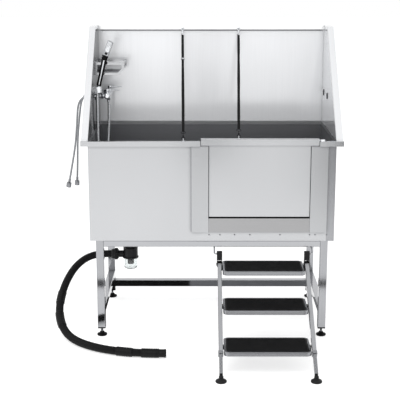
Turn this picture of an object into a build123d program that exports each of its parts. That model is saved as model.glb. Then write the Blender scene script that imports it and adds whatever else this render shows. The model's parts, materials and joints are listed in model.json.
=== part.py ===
from build123d import *
import math
import os

# A free-standing stainless pet bathtub: a raised basin on a four-legged tube frame, with splash
# walls on three sides, a lift-out front door, hook-on steps, a wall mixer with a hand spray, a
# shampoo shelf, two tether straps, and a bottle trap with a drain hose that lies on the floor.
# Millimetres. X runs to the right, Y to the back, Z up. The origin is on the floor, in the middle
# of the footprint of the tub and its steps. Free hoses and straps don't count in that footprint.

# ---------------------------------------------------------------- overall sizes
tub_width = 1270        # rim, end to end
rim_depth = 670         # rim's front edge to the back edge
rim_top = 1000
splash_top = 1515
basin_bottom = 500      # underside of the basin and top of the frame
step_reach = 574        # rim's front edge to the front of the step pads

# ---------------------------------------------------------------- sheet metal
sheet = 1.5
flange = 33             # outward flange round the splash walls, and the rim's overhang at its ends
rim_height = 24
rim_return = 14         # inward fold under the rim
rim_lip = 20            # rim's front edge to the front panel
back_lip = 10           # basin's back edge, behind the back wall
pan_sheet = 2.0
slant_start = 30        # side splash walls: front corner behind the rim's front edge
slant_end = 520         # side splash walls: top corner behind the rim's front edge
hem_height = 22
hem_depth = 18

# ---------------------------------------------------------------- tube frame
tube = 38
tube_wall = 1.5
tube_round = 3.0
rail_height = 31
leg_inset = 47.5        # side wall to leg centre
leg_setback = 20        # front or back wall to leg centre
leg_bottom = 48
back_rail_z = 65        # underside of the low back rail
side_rail_z = 120       # underside of the low side rails
plug_below = 7
plug_inside = 26

# ---------------------------------------------------------------- levelling feet
stem_r = 6.0
stem_top = 122
foot_r = 25
foot_height = 22
running_gap = 0.05      # radial gap of a shaft in its hole

# ---------------------------------------------------------------- door
door_x = 231            # middle of the doorway
door_half = 283
door_thickness = 8
door_gap = 1.0          # door to front panel
door_overlap = 28       # door beyond the doorway at each side
cap_overhang = 2        # cap beyond the door at each end
cap_gap = 3             # door cap to each end of the rim
cap_rise = 12           # cap above the rim
cap_proud = 1.5         # cap in front of the rim
cap_height = 30
cap_depth = 31.5
sill_rise = 46          # sill above the basin's underside
sill_height = 71
sill_depth = 10
seal_height = 9
part_gap = 0.3          # between pieces that move apart
channel_cover = 34      # channel over the door's edge
channel_reach = 48      # channel beyond the door's edge
channel_depth = 12
guide_gap = 0.5
screw_rise = 32         # screws above the basin's underside
screw_r = 3.4
screw_x = (-14, 40, 112, 188, 336, 482, 509, 566)

# ---------------------------------------------------------------- steps
steps_x = 252
stringer_width = 20
stringer_depth = 30
stringer_span = 224.5   # middle of the steps to a stringer's outer face
pin_z = 446             # hook pins that carry the steps
pin_r = 4.0
pivot_z = 392
pivot_r = 4.0
pivot_ahead = 20        # pins and pivots in front of the rim's front edge
step_pad_r = 26
pad_ball_z = 24
ball_r = 11
stringer_length = 527
collar_length = 15
leg_gap = 0.5
leg_hidden = 130        # length of the lower leg inside its stringer
step_rise = 135
top_step_z = 385
tread_sit = 2.8         # top tread's surface under the stringers' middle line
tread_fall = 9.55       # each lower tread sits this much further under it
tread_width = 400
tread_depth = 190
tread_height = 20
tread_round = 24
mat_margin = 10
mat_recess = 2.0
mat_thickness = 3.5
mat_gap = 0.2
cheek = 3               # bracket cheeks each side of a stringer
cheek_gap = 0.2
bracket_half = 12
bracket_top = 460

# ---------------------------------------------------------------- drain
drain_in = 177          # left wall's outer face to the drain
drain_back = 330        # drain behind the rim's front edge
drain_r = 44            # inside of the drain bowl
drain_depth = 16
tail_r = 21.5
pipe_wall = 1.5
trap_z = 343            # middle of the trap's side branch
trap_r = 38
trap_low = 324          # trap body's lower edge
trap_high = 378
trap_wall = 3
cup_low = 266
cup_wall = 2.5
branch_r = 18
branch_reach = 63       # trap centre to the end of the branch
union_r = 31
union_length = 39
drain_hose_d = 40
drain_cuff_d = 46
drain_cuff_length = 42

# ---------------------------------------------------------------- mixer, hand spray and shelf
tap_rise = 165          # mixer's axis above the rim
tap_centres = 150
tap_from_back = 77      # back wall's outer face to the nearer tap hole
tap_hole_r = 14
tap_out = 62            # side wall's outer face to the mixer's axis
tap_body_r = 15
shank_r = 10
lever_length = 60
supply_hose_d = 11
shower_hose_d = 14
spray_tilt = 13.4       # degrees from upright, leaning into the tub
head_tilt = 21.7
spray_ahead = 53        # front tap hole to the spray's axis
spray_rise = 59         # spray's seat above the mixer's axis
spray_seat_out = 24     # side wall's outer face to the spray's axis at its seat
spray_spigot_r = 9.5
spray_handle_length = 150
spray_head_length = 88
button_r = 6
button_travel = 3
shelf_drop = 240        # splash walls' top edge to the shelf
shelf_height = 65
shelf_reach = 151
shelf_length = 190

# ---------------------------------------------------------------- tether straps
strap_width = 15
strap_thickness = 2
strap_top_x = (-152, 145)
strap_low_x = (-139, 128)
fitting_length = 45

# ---------------------------------------------------------------- worked-out places
y_back = (rim_depth + step_reach) / 2
y_rim = y_back - rim_depth
wall_x = tub_width / 2 - flange
panel_y = y_rim + rim_lip
back_y = y_back - back_lip
inner_x = wall_x - sheet
doorway_half = door_half - door_overlap
cap_half = door_half + cap_overhang
channel_inner = door_half - channel_cover
channel_outer = door_half + channel_reach
sill_bottom = basin_bottom + sill_rise
sill_top = sill_bottom + sill_height
screw_z = basin_bottom + screw_rise
inner_front = panel_y + sheet
inner_back = back_y - sheet
pan_top = basin_bottom + pan_sheet
leg_x = wall_x - leg_inset
leg_front_y = panel_y + leg_setback
leg_back_y = back_y - leg_setback
tap_back_y = back_y - tap_from_back
tap_front_y = tap_back_y - tap_centres
tap_mid_y = (tap_front_y + tap_back_y) / 2
left = -wall_x
drain_x = left + drain_in
tap_x = left + tap_out
tap_z = rim_top + tap_rise
spray_seat_z = tap_z + spray_rise
shelf_z = splash_top - shelf_drop
drain_y = y_rim + drain_back
pivot_y = y_rim - pivot_ahead
pad_y = y_rim - step_reach + step_pad_r

os.makedirs("parts", exist_ok=True)


def write(piece, label):
    """Label a finished piece and write its STEP file."""
    piece.label = label
    export_step(piece, f"parts/{label}.step")


def block(x, y, z, mode=Mode.ADD):
    """Add a box that fills the three (low, high) spans."""
    with Locations(((x[0] + x[1]) / 2, (y[0] + y[1]) / 2, (z[0] + z[1]) / 2)):
        Box(x[1] - x[0], y[1] - y[0], z[1] - z[0], mode=mode)


def rod(plane, radius, length, mode=Mode.ADD):
    """Add a round bar that starts on the plane and runs along its normal."""
    with BuildSketch(plane) as section:
        Circle(radius)
    extrude(section.sketch, amount=length, mode=mode)


def square_tube(plane, width, height, length):
    """Add a hollow tube that starts on the plane and runs along its normal."""
    with BuildSketch(plane) as section:
        RectangleRounded(width, height, tube_round)
        RectangleRounded(width - 2 * tube_wall, height - 2 * tube_wall, tube_round - tube_wall,
                         mode=Mode.SUBTRACT)
    extrude(section.sketch, amount=length)


def folded(plane, points, length):
    """Add a folded sheet: an open outline, thickened to its right, carried along the normal."""
    with BuildSketch(plane) as section:
        with BuildLine():
            Polyline(*points)
            offset(amount=sheet, side=Side.RIGHT)
        make_face()
    extrude(section.sketch, amount=length)


def across(x, y=0.0, z=0.0):
    """A plane facing +X, with its own x along Y and its own y along Z."""
    return Plane(origin=(x, y, z), x_dir=(0, 1, 0), z_dir=(1, 0, 0))


def along_y(x, y, z):
    """A plane facing +Y, with its own x along X."""
    return Plane(origin=(x, y, z), x_dir=(1, 0, 0), z_dir=(0, 1, 0))


def upward(x, y, z):
    """A plane facing +Z."""
    return Plane(origin=(x, y, z))


# ================================================================ tube frame
for label, y in (("legs_front", leg_front_y), ("legs_back", leg_back_y)):
    with BuildPart() as legs:
        for x in (-leg_x, leg_x):
            square_tube(upward(x, y, leg_bottom), tube, tube, basin_bottom - leg_bottom)
    write(legs.part, label)

rail_mid_z = basin_bottom - rail_height / 2
rail_half = leg_x - tube / 2
side_rail_start = leg_front_y + tube / 2
side_rail_length = leg_back_y - leg_front_y - tube

with BuildPart() as top_rails:
    for y in (leg_front_y, leg_back_y):
        square_tube(across(-rail_half, y, rail_mid_z), tube, rail_height, 2 * rail_half)
    for x in (-leg_x, leg_x):
        square_tube(along_y(x, side_rail_start, rail_mid_z), tube, rail_height, side_rail_length)
write(top_rails.part, "top_rails")

with BuildPart() as bottom_rails:
    square_tube(across(-rail_half, leg_back_y, back_rail_z + tube / 2), tube, tube, 2 * rail_half)
    for x in (-leg_x, leg_x):
        square_tube(along_y(x, side_rail_start, side_rail_z + tube / 2), tube, tube,
                    side_rail_length)
write(bottom_rails.part, "bottom_rails")

with BuildPart() as leg_end_plugs:
    inside = tube - 2 * tube_wall
    for x in (-leg_x, leg_x):
        for y in (leg_front_y, leg_back_y):
            with BuildSketch(upward(x, y, leg_bottom - plug_below)):
                RectangleRounded(tube, tube, tube_round)
            extrude(amount=plug_below)
            with BuildSketch(upward(x, y, leg_bottom)):
                RectangleRounded(inside, inside, tube_round - tube_wall)
            extrude(amount=plug_inside)
            rod(upward(x, y, leg_bottom - plug_below), stem_r + running_gap,
                plug_below + plug_inside, mode=Mode.SUBTRACT)
write(leg_end_plugs.part, "leg_end_plugs")

# A levelling foot: a bell-shaped pad on a threaded stem that screws down out of the leg's plug.
foot_places = {
    "front_left": (-leg_x, leg_front_y),
    "front_right": (leg_x, leg_front_y),
    "back_left": (-leg_x, leg_back_y),
    "back_right": (leg_x, leg_back_y),
}
for place, (x, y) in foot_places.items():
    with BuildPart() as levelling_foot:
        with BuildSketch(Plane(origin=(x, y, 0), x_dir=(1, 0, 0), z_dir=(0, -1, 0))):
            with BuildLine():
                Polyline((stem_r, foot_height), (0, foot_height), (0, 0), (foot_r - 2, 0),
                         (foot_r, 3), (foot_r, 6))
                Spline((foot_r, 6), (stem_r + 6, foot_height - 5), (stem_r, foot_height),
                       tangents=((-0.2, 1), (-1, 0.6)))
            make_face()
        revolve(axis=Axis((x, y, 0), (0, 0, 1)))
        rod(upward(x, y, foot_height - 4), stem_r, stem_top - foot_height + 4)
    write(levelling_foot.part, f"levelling_foot_{place}")

# ================================================================ basin
with BuildPart() as front_panel:
    block((-wall_x, wall_x), (panel_y, inner_front), (basin_bottom, rim_top - sheet))
    block((door_x - doorway_half, door_x + doorway_half), (panel_y, inner_front),
          (sill_top, rim_top), mode=Mode.SUBTRACT)
write(front_panel.part, "front_panel")

with BuildPart() as basin_back_wall:
    folded(across(-wall_x), [(inner_back, basin_bottom), (inner_back, rim_top), (y_back, rim_top)],
           2 * wall_x)
write(basin_back_wall.part, "basin_back_wall")

with BuildPart() as basin_side_walls:
    for x in ((-wall_x, -inner_x), (inner_x, wall_x)):
        block(x, (inner_front, inner_back), (basin_bottom, rim_top))
write(basin_side_walls.part, "basin_side_walls")

with BuildPart() as floor_pan:
    block((-inner_x, inner_x), (inner_front, inner_back), (basin_bottom, pan_top))
    rod(upward(drain_x, drain_y, basin_bottom), drain_r + pipe_wall + part_gap, pan_sheet,
        mode=Mode.SUBTRACT)
write(floor_pan.part, "floor_pan")

# The rim is one folded strip along the front, broken by the doorway, with closed ends.
rim_low = rim_top - rim_height
rim_fold = [(y_rim + rim_return, rim_low), (y_rim, rim_low), (y_rim, rim_top),
            (inner_front, rim_top)]
gap_left = door_x - cap_half - cap_gap
gap_right = door_x + cap_half + cap_gap
rim_end = tub_width / 2
with BuildPart() as front_rim:
    folded(across(-rim_end), rim_fold, gap_left + rim_end)
    folded(across(gap_right), rim_fold, rim_end - gap_right)
    for x in ((-rim_end, sheet - rim_end), (rim_end - sheet, rim_end)):
        block(x, (y_rim, inner_front), (rim_low, rim_top))
write(front_rim.part, "front_rim")

# ================================================================ splash walls
hem_fold = [(inner_back - hem_depth, splash_top - hem_height),
            (inner_back - hem_depth, splash_top), (back_y, splash_top), (back_y, rim_top)]
with BuildPart() as splash_back:
    folded(across(-inner_x), hem_fold, 2 * inner_x)
write(splash_back.part, "splash_back")

# A side wall: a sheet with a slanting front edge, and a flange turned out along the slant and the
# top edge. The left wall has the two tap holes, and the right wall has the same holes, plugged.
slant_low = (y_rim + slant_start, rim_top)
slant_high = (y_rim + slant_end, splash_top)
for label, side in (("splash_left", -1), ("splash_right", 1)):
    with BuildPart() as splash_side:
        with BuildSketch(across(side * wall_x)):
            with BuildLine():
                Polyline(slant_low, slant_high, (back_y, splash_top), (back_y, rim_top),
                         close=True)
            make_face()
        extrude(amount=-side * sheet)
        folded(across(side * wall_x), [slant_low, slant_high, (back_y, splash_top)],
               side * flange)
        for y in (tap_front_y, tap_back_y):
            rod(across(side * wall_x - side * 2 * sheet, y, tap_z), tap_hole_r,
                side * 3 * sheet, mode=Mode.SUBTRACT)
    write(splash_side.part, label)

with BuildPart() as hole_plugs:
    for y in (tap_front_y, tap_back_y):
        rod(across(inner_x - 2.5, y, tap_z), tap_hole_r + 2.5, 2.5)
        rod(across(inner_x, y, tap_z), tap_hole_r - running_gap, sheet + 6)
write(hole_plugs.part, "hole_plugs")

# ================================================================ door
channel_y = panel_y - channel_depth
channel_top = rim_low
with BuildPart() as door_frame:
    for side in (-1, 1):
        outer = door_x + side * channel_outer
        inner = door_x + side * channel_inner
        guide = door_x + side * (door_half + guide_gap)
        front = sorted((outer, inner))
        bar = sorted((outer, guide))
        block(front, (channel_y, channel_y + sheet), (sill_bottom, channel_top))
        block(bar, (channel_y, panel_y), (sill_bottom, channel_top))
    block((door_x - door_half, door_x + door_half), (panel_y - sill_depth, panel_y),
          (sill_bottom, sill_top))
    block((door_x - door_half + sheet, door_x + door_half - sheet),
          (panel_y - sill_depth + sheet, panel_y), (sill_bottom, sill_top - sheet),
          mode=Mode.SUBTRACT)
write(door_frame.part, "door_frame")

door_back = panel_y - door_gap
door_front = door_back - door_thickness
door_low = sill_top + seal_height
cap_top = rim_top + cap_rise
cap_front = y_rim - cap_proud
cap_back = cap_front + cap_depth
door_span = (door_x - door_half, door_x + door_half)
with BuildPart() as door_panel:
    block(door_span, (door_front, door_back), (door_low, cap_top - sheet))
    block((door_span[0] + sheet, door_span[1] - sheet), (door_front + sheet, door_back),
          (door_low + sheet, cap_top - 2 * sheet), mode=Mode.SUBTRACT)
write(door_panel.part, "door_panel")

with BuildPart() as door_seal:
    block(door_span, (door_front, door_back), (sill_top + part_gap, door_low))
write(door_seal.part, "door_seal")

with BuildPart() as door_cap:
    folded(across(door_x - cap_half),
           [(cap_front, cap_top - cap_height), (cap_front, cap_top), (cap_back, cap_top),
            (cap_back, cap_top - cap_height)], 2 * cap_half)
    fillet(door_cap.edges().filter_by(Axis.X).group_by(Axis.Z)[-1], sheet)
write(door_cap.part, "door_cap")

# A spring catch on the rim, whose round nose bears on the end of the door cap.
catch_x = gap_right + 3
with BuildPart() as door_catch:
    block((catch_x, catch_x + 22), (y_rim + 4, y_rim + 18), (rim_top, rim_top + 9))
    fillet(door_catch.edges().filter_by(Axis.Z), 3)
    rod(across(catch_x, y_rim + 11, rim_top + 5), 2.5, -(catch_x - door_x - cap_half - 1))
write(door_catch.part, "door_catch")

with BuildPart() as panel_screws:
    for x in screw_x:
        with BuildSketch(along_y(x, panel_y, screw_z)):
            Circle(screw_r)
        extrude(amount=-2, taper=20)
write(panel_screws.part, "panel_screws")

# ================================================================ steps
# The stringers run from the pivot bolts down to the pads, and their direction sets everything.
slope = Vector(0, pad_y - pivot_y, pad_ball_z - pivot_z)
slope_length = slope.length
down = slope.normalized()
stringer_x = stringer_span - stringer_width / 2
sides = {"left": steps_x - stringer_x, "right": steps_x + stringer_x}


def on_slope(x, distance):
    """A plane across a stringer's line, at a distance below its pivot, facing down the line."""
    start = Vector(x, pivot_y, pivot_z) + down * distance
    return Plane(origin=start, x_dir=(1, 0, 0), z_dir=down)


with BuildPart() as step_stringers:
    for x in sides.values():
        square_tube(on_slope(x, -10), stringer_width, stringer_depth, stringer_length + 10)
        rod(across(x - stringer_width, pivot_y, pivot_z), pivot_r + running_gap,
            2 * stringer_width, mode=Mode.SUBTRACT)
write(step_stringers.part, "step_stringers")

leg_width = stringer_width - 2 * tube_wall - 2 * leg_gap
leg_depth = stringer_depth - 2 * tube_wall - 2 * leg_gap
for side, x in sides.items():
    with BuildPart() as step_leg:
        with BuildSketch(on_slope(x, stringer_length - leg_hidden)):
            RectangleRounded(leg_width, leg_depth, 2)
        extrude(amount=slope_length - ball_r - stringer_length + leg_hidden)
    write(step_leg.part, f"step_leg_{side}")

    with BuildPart() as step_pad:
        with BuildSketch(Plane(origin=(x, pad_y, 0), x_dir=(1, 0, 0), z_dir=(0, -1, 0))):
            with BuildLine():
                Polyline((ball_r - 1, 19), (0, 19), (0, 0), (step_pad_r - 2, 0), (step_pad_r, 3),
                         (step_pad_r, 6))
                Spline((step_pad_r, 6), (ball_r + 6, 13), (ball_r - 1, 19),
                       tangents=((-0.2, 1), (-1, 0.6)))
            make_face()
        revolve(axis=Axis((x, pad_y, 0), (0, 0, 1)))
        with Locations((x, pad_y, pad_ball_z)):
            Sphere(ball_r)
    write(step_pad.part, f"step_pad_{side}")

tread_names = ("top", "middle", "bottom")
tread_places = []
for i in range(len(tread_names)):
    tread_z = top_step_z - step_rise * i
    fall = pivot_z - (tread_z + tread_sit + tread_fall * i)
    tread_places.append((pivot_y - fall * down.Y / down.Z, tread_z))
mat_width = tread_width - 2 * mat_margin
mat_depth = tread_depth - 2 * mat_margin
mat_round = tread_round - mat_margin
for name, (y, z) in zip(tread_names, tread_places):
    with BuildPart() as step_tray:
        with BuildSketch(upward(steps_x, y, z - tread_height)):
            RectangleRounded(tread_width, tread_depth, tread_round)
        extrude(amount=tread_height)
        fillet(step_tray.edges().group_by(Axis.Z)[-1], 2)
        with BuildSketch(upward(steps_x, y, z - mat_recess)):
            RectangleRounded(mat_width + 2 * mat_gap, mat_depth + 2 * mat_gap, mat_round)
        extrude(amount=mat_recess, mode=Mode.SUBTRACT)
        with BuildSketch(upward(steps_x, y, z - tread_height)):
            RectangleRounded(tread_width - 2 * sheet, tread_depth - 2 * sheet,
                             tread_round - sheet)
        extrude(amount=tread_height - mat_recess - sheet, mode=Mode.SUBTRACT)
    write(step_tray.part, f"step_tray_{name}")

with BuildPart() as step_mats:
    for y, z in tread_places:
        with BuildSketch(upward(steps_x, y, z - mat_recess)):
            RectangleRounded(mat_width, mat_depth, mat_round)
        extrude(amount=mat_thickness)
write(step_mats.part, "step_mats")

# Black brackets: a forked head on each stringer, which hangs on a hook pin, and a tab at each end
# of each tread.
cheek_out = stringer_width / 2 + cheek_gap + cheek
fork_floor = pivot_z + stringer_depth / 2 + 8
with BuildPart() as step_brackets:
    for x in sides.values():
        block((x - cheek_out, x + cheek_out), (pivot_y - bracket_half, pivot_y + bracket_half),
              (pivot_z - bracket_half, bracket_top))
    fillet(step_brackets.edges().filter_by(Axis.X).group_by(Axis.Z)[-1], bracket_half - 1)
    fillet(step_brackets.edges().filter_by(Axis.X).group_by(Axis.Z)[0], bracket_half / 2)
    for x in sides.values():
        half = stringer_width / 2 + cheek_gap
        block((x - half, x + half), (pivot_y - 2 * bracket_half, pivot_y + 2 * bracket_half),
              (pivot_z - 2 * bracket_half, fork_floor), mode=Mode.SUBTRACT)
        rod(across(x - 2 * cheek_out, pivot_y, pin_z), pin_r + running_gap, 4 * cheek_out,
            mode=Mode.SUBTRACT)
        rod(across(x - 2 * cheek_out, pivot_y, pivot_z), pivot_r + running_gap, 4 * cheek_out,
            mode=Mode.SUBTRACT)
    tread_half = tread_width / 2
    face = stringer_span - stringer_width
    for y, z in tread_places:
        left_end = (steps_x - face, steps_x - tread_half)
        right_end = (steps_x + tread_half, steps_x + face)
        for span in (left_end, right_end):
            block(span, (y - bracket_half, y + bracket_half),
                  (z - tread_height, z - mat_thickness))
write(step_brackets.part, "step_brackets")

# Pivot bolts through the brackets and stringers, and the clamp collars at the stringers' ends.
with BuildPart() as step_bolts:
    for x in sides.values():
        head = cheek_out + 3.5
        rod(across(x - head, pivot_y, pivot_z), pivot_r, 2 * head)
        rod(across(x - head, pivot_y, pivot_z), 7, 3.5)
        rod(across(x + cheek_out, pivot_y, pivot_z), 7, 3.5)
        with BuildSketch(on_slope(x, stringer_length - collar_length)):
            RectangleRounded(stringer_width + 4, stringer_depth + 4, tube_round)
            RectangleRounded(stringer_width, stringer_depth, tube_round, mode=Mode.SUBTRACT)
        extrude(amount=collar_length)
write(step_bolts.part, "step_bolts")

# Two rods hang from the front rail and turn inward as the pins that carry the steps.
rod_out = 15.5
with BuildPart() as step_hook_rods:
    for side in (-1, 1):
        x = steps_x + side * (stringer_span + rod_out)
        x_end = x - side * (rod_out + stringer_width + cheek)
        rail_point = Vector(x, leg_front_y - 5, basin_bottom - rail_height)
        with BuildLine():
            FilletPolyline(rail_point, (x, pivot_y, pin_z), (x_end, pivot_y, pin_z), radius=7)
        with BuildSketch(Plane(origin=rail_point, z_dir=Vector(x, pivot_y, pin_z) - rail_point)):
            Circle(pin_r)
        sweep()
    block((steps_x - 2 * stringer_span, steps_x + 2 * stringer_span),
          (leg_front_y - 40, leg_back_y), (basin_bottom - rail_height, basin_bottom),
          mode=Mode.SUBTRACT)
write(step_hook_rods.part, "step_hook_rods")

# ================================================================ drain
drain_axis = Axis((drain_x, drain_y, 0), (0, 0, 1))
drain_plane = Plane(origin=(drain_x, drain_y, 0), x_dir=(1, 0, 0), z_dir=(0, -1, 0))
bowl_low = pan_top - drain_depth
tail_low = trap_high + 17


def turned(points):
    """Add a solid turned about the drain's axis from a closed outline of (radius, height)."""
    with BuildSketch(drain_plane) as section:
        with BuildLine():
            Polyline(*points, close=True)
        make_face()
    revolve(section.sketch, axis=drain_axis)


with BuildPart() as drain_flange:
    lip = pan_top + sheet
    turned([(drain_r + 13, pan_top), (drain_r + 13, lip), (drain_r, lip),
            (drain_r, bowl_low + pipe_wall), (tail_r - pipe_wall, bowl_low + pipe_wall),
            (tail_r - pipe_wall, tail_low), (tail_r, tail_low), (tail_r, bowl_low),
            (drain_r + pipe_wall, bowl_low), (drain_r + pipe_wall, pan_top)])
write(drain_flange.part, "drain_flange")

with BuildPart() as strainer_basket:
    rest = lip + part_gap
    basket_r = drain_r - 2
    basket_low = bowl_low + pipe_wall + 2
    turned([(drain_r + 6, rest), (drain_r + 6, rest + sheet), (basket_r - sheet, rest + sheet),
            (basket_r - sheet, basket_low + sheet), (4, basket_low + sheet), (4, rest + 4),
            (0, rest + 4), (0, basket_low), (basket_r, basket_low), (basket_r, rest)])
    for ring_r, count in ((14, 6), (26, 12)):
        with BuildSketch(upward(drain_x, drain_y, basket_low)):
            with PolarLocations(ring_r, count):
                Circle(3)
        extrude(amount=sheet, mode=Mode.SUBTRACT)
write(strainer_basket.part, "strainer_basket")

# The trap: a chamber under the tailpiece with a dip tube, a side branch, and a clear cup below.
with BuildPart() as trap_body:
    socket_r = tail_r + 0.2
    dip_r = 17
    chamber_r = trap_r - trap_wall
    turned([(trap_r + 4, trap_low), (trap_r + 4, trap_low + 6), (trap_r, trap_low + 6),
            (trap_r, trap_high), (socket_r + 6, trap_high), (socket_r + 6, tail_low + 16),
            (socket_r, tail_low + 16), (socket_r, trap_high - trap_wall + 1),
            (dip_r - 2.5, trap_high - trap_wall + 1), (dip_r - 2.5, trap_low - 32),
            (dip_r, trap_low - 32), (dip_r, trap_high - trap_wall - 2),
            (chamber_r, trap_high - trap_wall - 2), (chamber_r, trap_low)])
    branch = Plane(origin=(drain_x - chamber_r - 1, drain_y, trap_z), x_dir=(0, 1, 0),
                   z_dir=(-1, 0, 0))
    rod(branch, branch_r, branch_reach - chamber_r - 1)
    rod(Plane(origin=(drain_x - chamber_r + 4, drain_y, trap_z), x_dir=(0, 1, 0),
              z_dir=(-1, 0, 0)), branch_r - trap_wall, branch_reach, mode=Mode.SUBTRACT)
write(trap_body.part, "trap_body")

with BuildPart() as trap_cup:
    neck_r = chamber_r - 0.4
    shoulder = trap_low - part_gap
    turned([(0, cup_low), (trap_r - 12, cup_low), (trap_r - 5, cup_low + 4),
            (trap_r - 2, cup_low + 12), (trap_r, shoulder - 8), (trap_r, shoulder),
            (neck_r, shoulder), (neck_r, shoulder + 4),
            (neck_r - cup_wall, shoulder + 4), (neck_r - cup_wall, cup_low + 13),
            (trap_r - 9, cup_low + 6), (trap_r - 14, cup_low + cup_wall), (0, cup_low + cup_wall)])
write(trap_cup.part, "trap_cup")

union_x = drain_x - branch_reach
with BuildPart() as drain_union_nut:
    union_plane = Plane(origin=(union_x, drain_y, trap_z), x_dir=(0, 1, 0), z_dir=(-1, 0, 0))
    with BuildSketch(union_plane):
        RegularPolygon(union_r, 12)
        Circle(branch_r - trap_wall, mode=Mode.SUBTRACT)
    extrude(amount=union_length)
    chamfer(drain_union_nut.faces().sort_by(Axis.X)[0].outer_wire().edges(), 6)
    chamfer(drain_union_nut.faces().sort_by(Axis.X)[-1].outer_wire().edges(), 3)
write(drain_union_nut.part, "drain_union_nut")


def hose_path(name, points):
    """Straight runs joined by the largest arcs that they allow; returns the corner radii."""
    places = [Vector(*p) for p in points]
    radii = []
    for a, b, c in zip(places, places[1:], places[2:]):
        run = min((b - a).length, (c - b).length)
        turn = (b - a).get_angle(c - b)
        radii.append(0.45 * run / math.tan(math.radians(turn / 2)))
    print(name, "radii", [round(r) for r in radii])
    return places, radii


def hose(name, points, diameter):
    """Add a plain round hose along hand-chosen points."""
    places, radii = hose_path(name, points)
    with BuildLine() as path:
        FilletPolyline(*places, radius=radii)
    with BuildSketch(Plane(origin=places[0], z_dir=places[1] - places[0])) as section:
        Circle(diameter / 2)
    sweep(section.sketch, path=path.line)


# The drain hose leaves the union nut to the left, curves down outside the legs and lies on the
# floor in front of the tub, where it ends in a cuff.
union_end = union_x - union_length
drain_route = [
    (union_end, drain_y, trap_z),
    (left + 10, drain_y, trap_z),
    (left - 56, drain_y - 5, trap_z - 19),
    (left - 112, drain_y - 28, trap_z - 61),
    (left - 149, drain_y - 68, trap_z - 114),
    (left - 170, y_rim + 208, 178),
    (left - 178, y_rim + 144, 132),
    (left - 172, y_rim + 76, 89),
    (left - 148, y_rim + 8, 51),
    (left - 102, y_rim - 62, 25),
    (left - 24, y_rim - 150, 23),
    (left + 88, y_rim - 219, 23),
    (left + 206, y_rim - 252, 23),
    (left + 282, y_rim - 261, 23),
    (left + 340, y_rim - 263, 23),
]
with BuildPart() as drain_hose:
    hose("drain hose", drain_route, drain_hose_d)
write(drain_hose.part, "drain_hose")

with BuildPart() as drain_hose_cuff:
    hose_end = Vector(*drain_route[-1])
    cuff_plane = Plane(origin=hose_end, z_dir=hose_end - Vector(*drain_route[-2]))
    rod(cuff_plane, drain_cuff_d / 2, drain_cuff_length)
    rod(cuff_plane.offset(2), drain_cuff_d / 2 - 3, drain_cuff_length, mode=Mode.SUBTRACT)
write(drain_hose_cuff.part, "drain_hose_cuff")

# ================================================================ mixer
nut_end = -wall_x - 20
body_face = tap_x - tap_body_r - 2
with BuildPart() as faucet_shanks:
    for y in (tap_front_y, tap_back_y):
        rod(across(nut_end, y, tap_z), shank_r, body_face - nut_end)
        rod(across(-inner_x, y, tap_z), 22, 4)
        with BuildSketch(across(-wall_x - 12, y, tap_z)):
            RegularPolygon(18, 6)
        extrude(amount=12)
        with BuildSketch(across(body_face - 14, y, tap_z)):
            RegularPolygon(16, 6)
        extrude(amount=12)
write(faucet_shanks.part, "faucet_shanks")

bonnet_top = tap_z + 24
spindle_height = 9
outlet_z = tap_z - 40
with BuildPart() as faucet_body:
    rod(along_y(tap_x, tap_front_y - 24, tap_z), tap_body_r, tap_centres + 48)
    fillet(faucet_body.edges().filter_by(GeomType.CIRCLE), 4)
    for y in (tap_front_y, tap_back_y):
        rod(across(body_face, y, tap_z), shank_r, tap_x - body_face)
        rod(upward(tap_x, y, tap_z), 12, bonnet_top - tap_z)
        rod(upward(tap_x, y, bonnet_top), 4, spindle_height)
    rod(upward(tap_x, tap_mid_y, outlet_z), 11, tap_z - outlet_z)
write(faucet_body.part, "faucet_body")

for label, y in (("faucet_lever_hot", tap_front_y), ("faucet_lever_cold", tap_back_y)):
    with BuildPart() as faucet_lever:
        rod(upward(tap_x, y, bonnet_top + part_gap), 11, 13)
        with BuildSketch(upward(tap_x, y, bonnet_top + 3)):
            with Locations((lever_length / 2, 0)):
                SlotOverall(lever_length + 14, 14)
        extrude(amount=7)
        rod(upward(tap_x, y, bonnet_top), 4 + running_gap, spindle_height + part_gap,
            mode=Mode.SUBTRACT)
    write(faucet_lever.part, label)

# ================================================================ hand spray and its hose
spray_y = tap_front_y - spray_ahead
lean = math.radians(spray_tilt)
spray_up = Vector(math.sin(lean), 0, math.cos(lean))
spray_seat = Vector(-wall_x + spray_seat_out, spray_y, spray_seat_z)
spray_base = Plane(origin=spray_seat, x_dir=(0, 1, 0), z_dir=spray_up)
spigot_length = 40

with BuildPart() as spray_holder:
    block((-inner_x, spray_seat.X + 17), (spray_y - 17, spray_y + 17),
          (spray_seat_z - 34, spray_seat_z - 5))
    fillet(spray_holder.edges().filter_by(Axis.Z).group_by(Axis.X)[-1], 10)
    rod(spray_base.offset(-60), spray_spigot_r + 1, 80, mode=Mode.SUBTRACT)
write(spray_holder.part, "spray_holder")

button_at = 0.82 * spray_handle_length
button_side = Vector(spray_up.Z, 0, -spray_up.X)
with BuildPart() as spray_handle:
    with BuildSketch(Plane(origin=spray_seat, x_dir=button_side, z_dir=(0, -1, 0))):
        with BuildLine():
            Polyline((12, 0), (0, 0), (0, spray_handle_length), (15, spray_handle_length))
            Spline((12, 0), (12.5, 0.45 * spray_handle_length), (15, spray_handle_length))
        make_face()
    revolve(axis=Axis(spray_seat, spray_up))
    rod(spray_base.offset(-spigot_length), spray_spigot_r, spigot_length + 4)
    button_foot = spray_seat + spray_up * button_at + button_side * 7
    rod(Plane(origin=button_foot, z_dir=button_side), button_r + part_gap, 20, mode=Mode.SUBTRACT)
write(spray_handle.part, "spray_handle")

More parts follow.
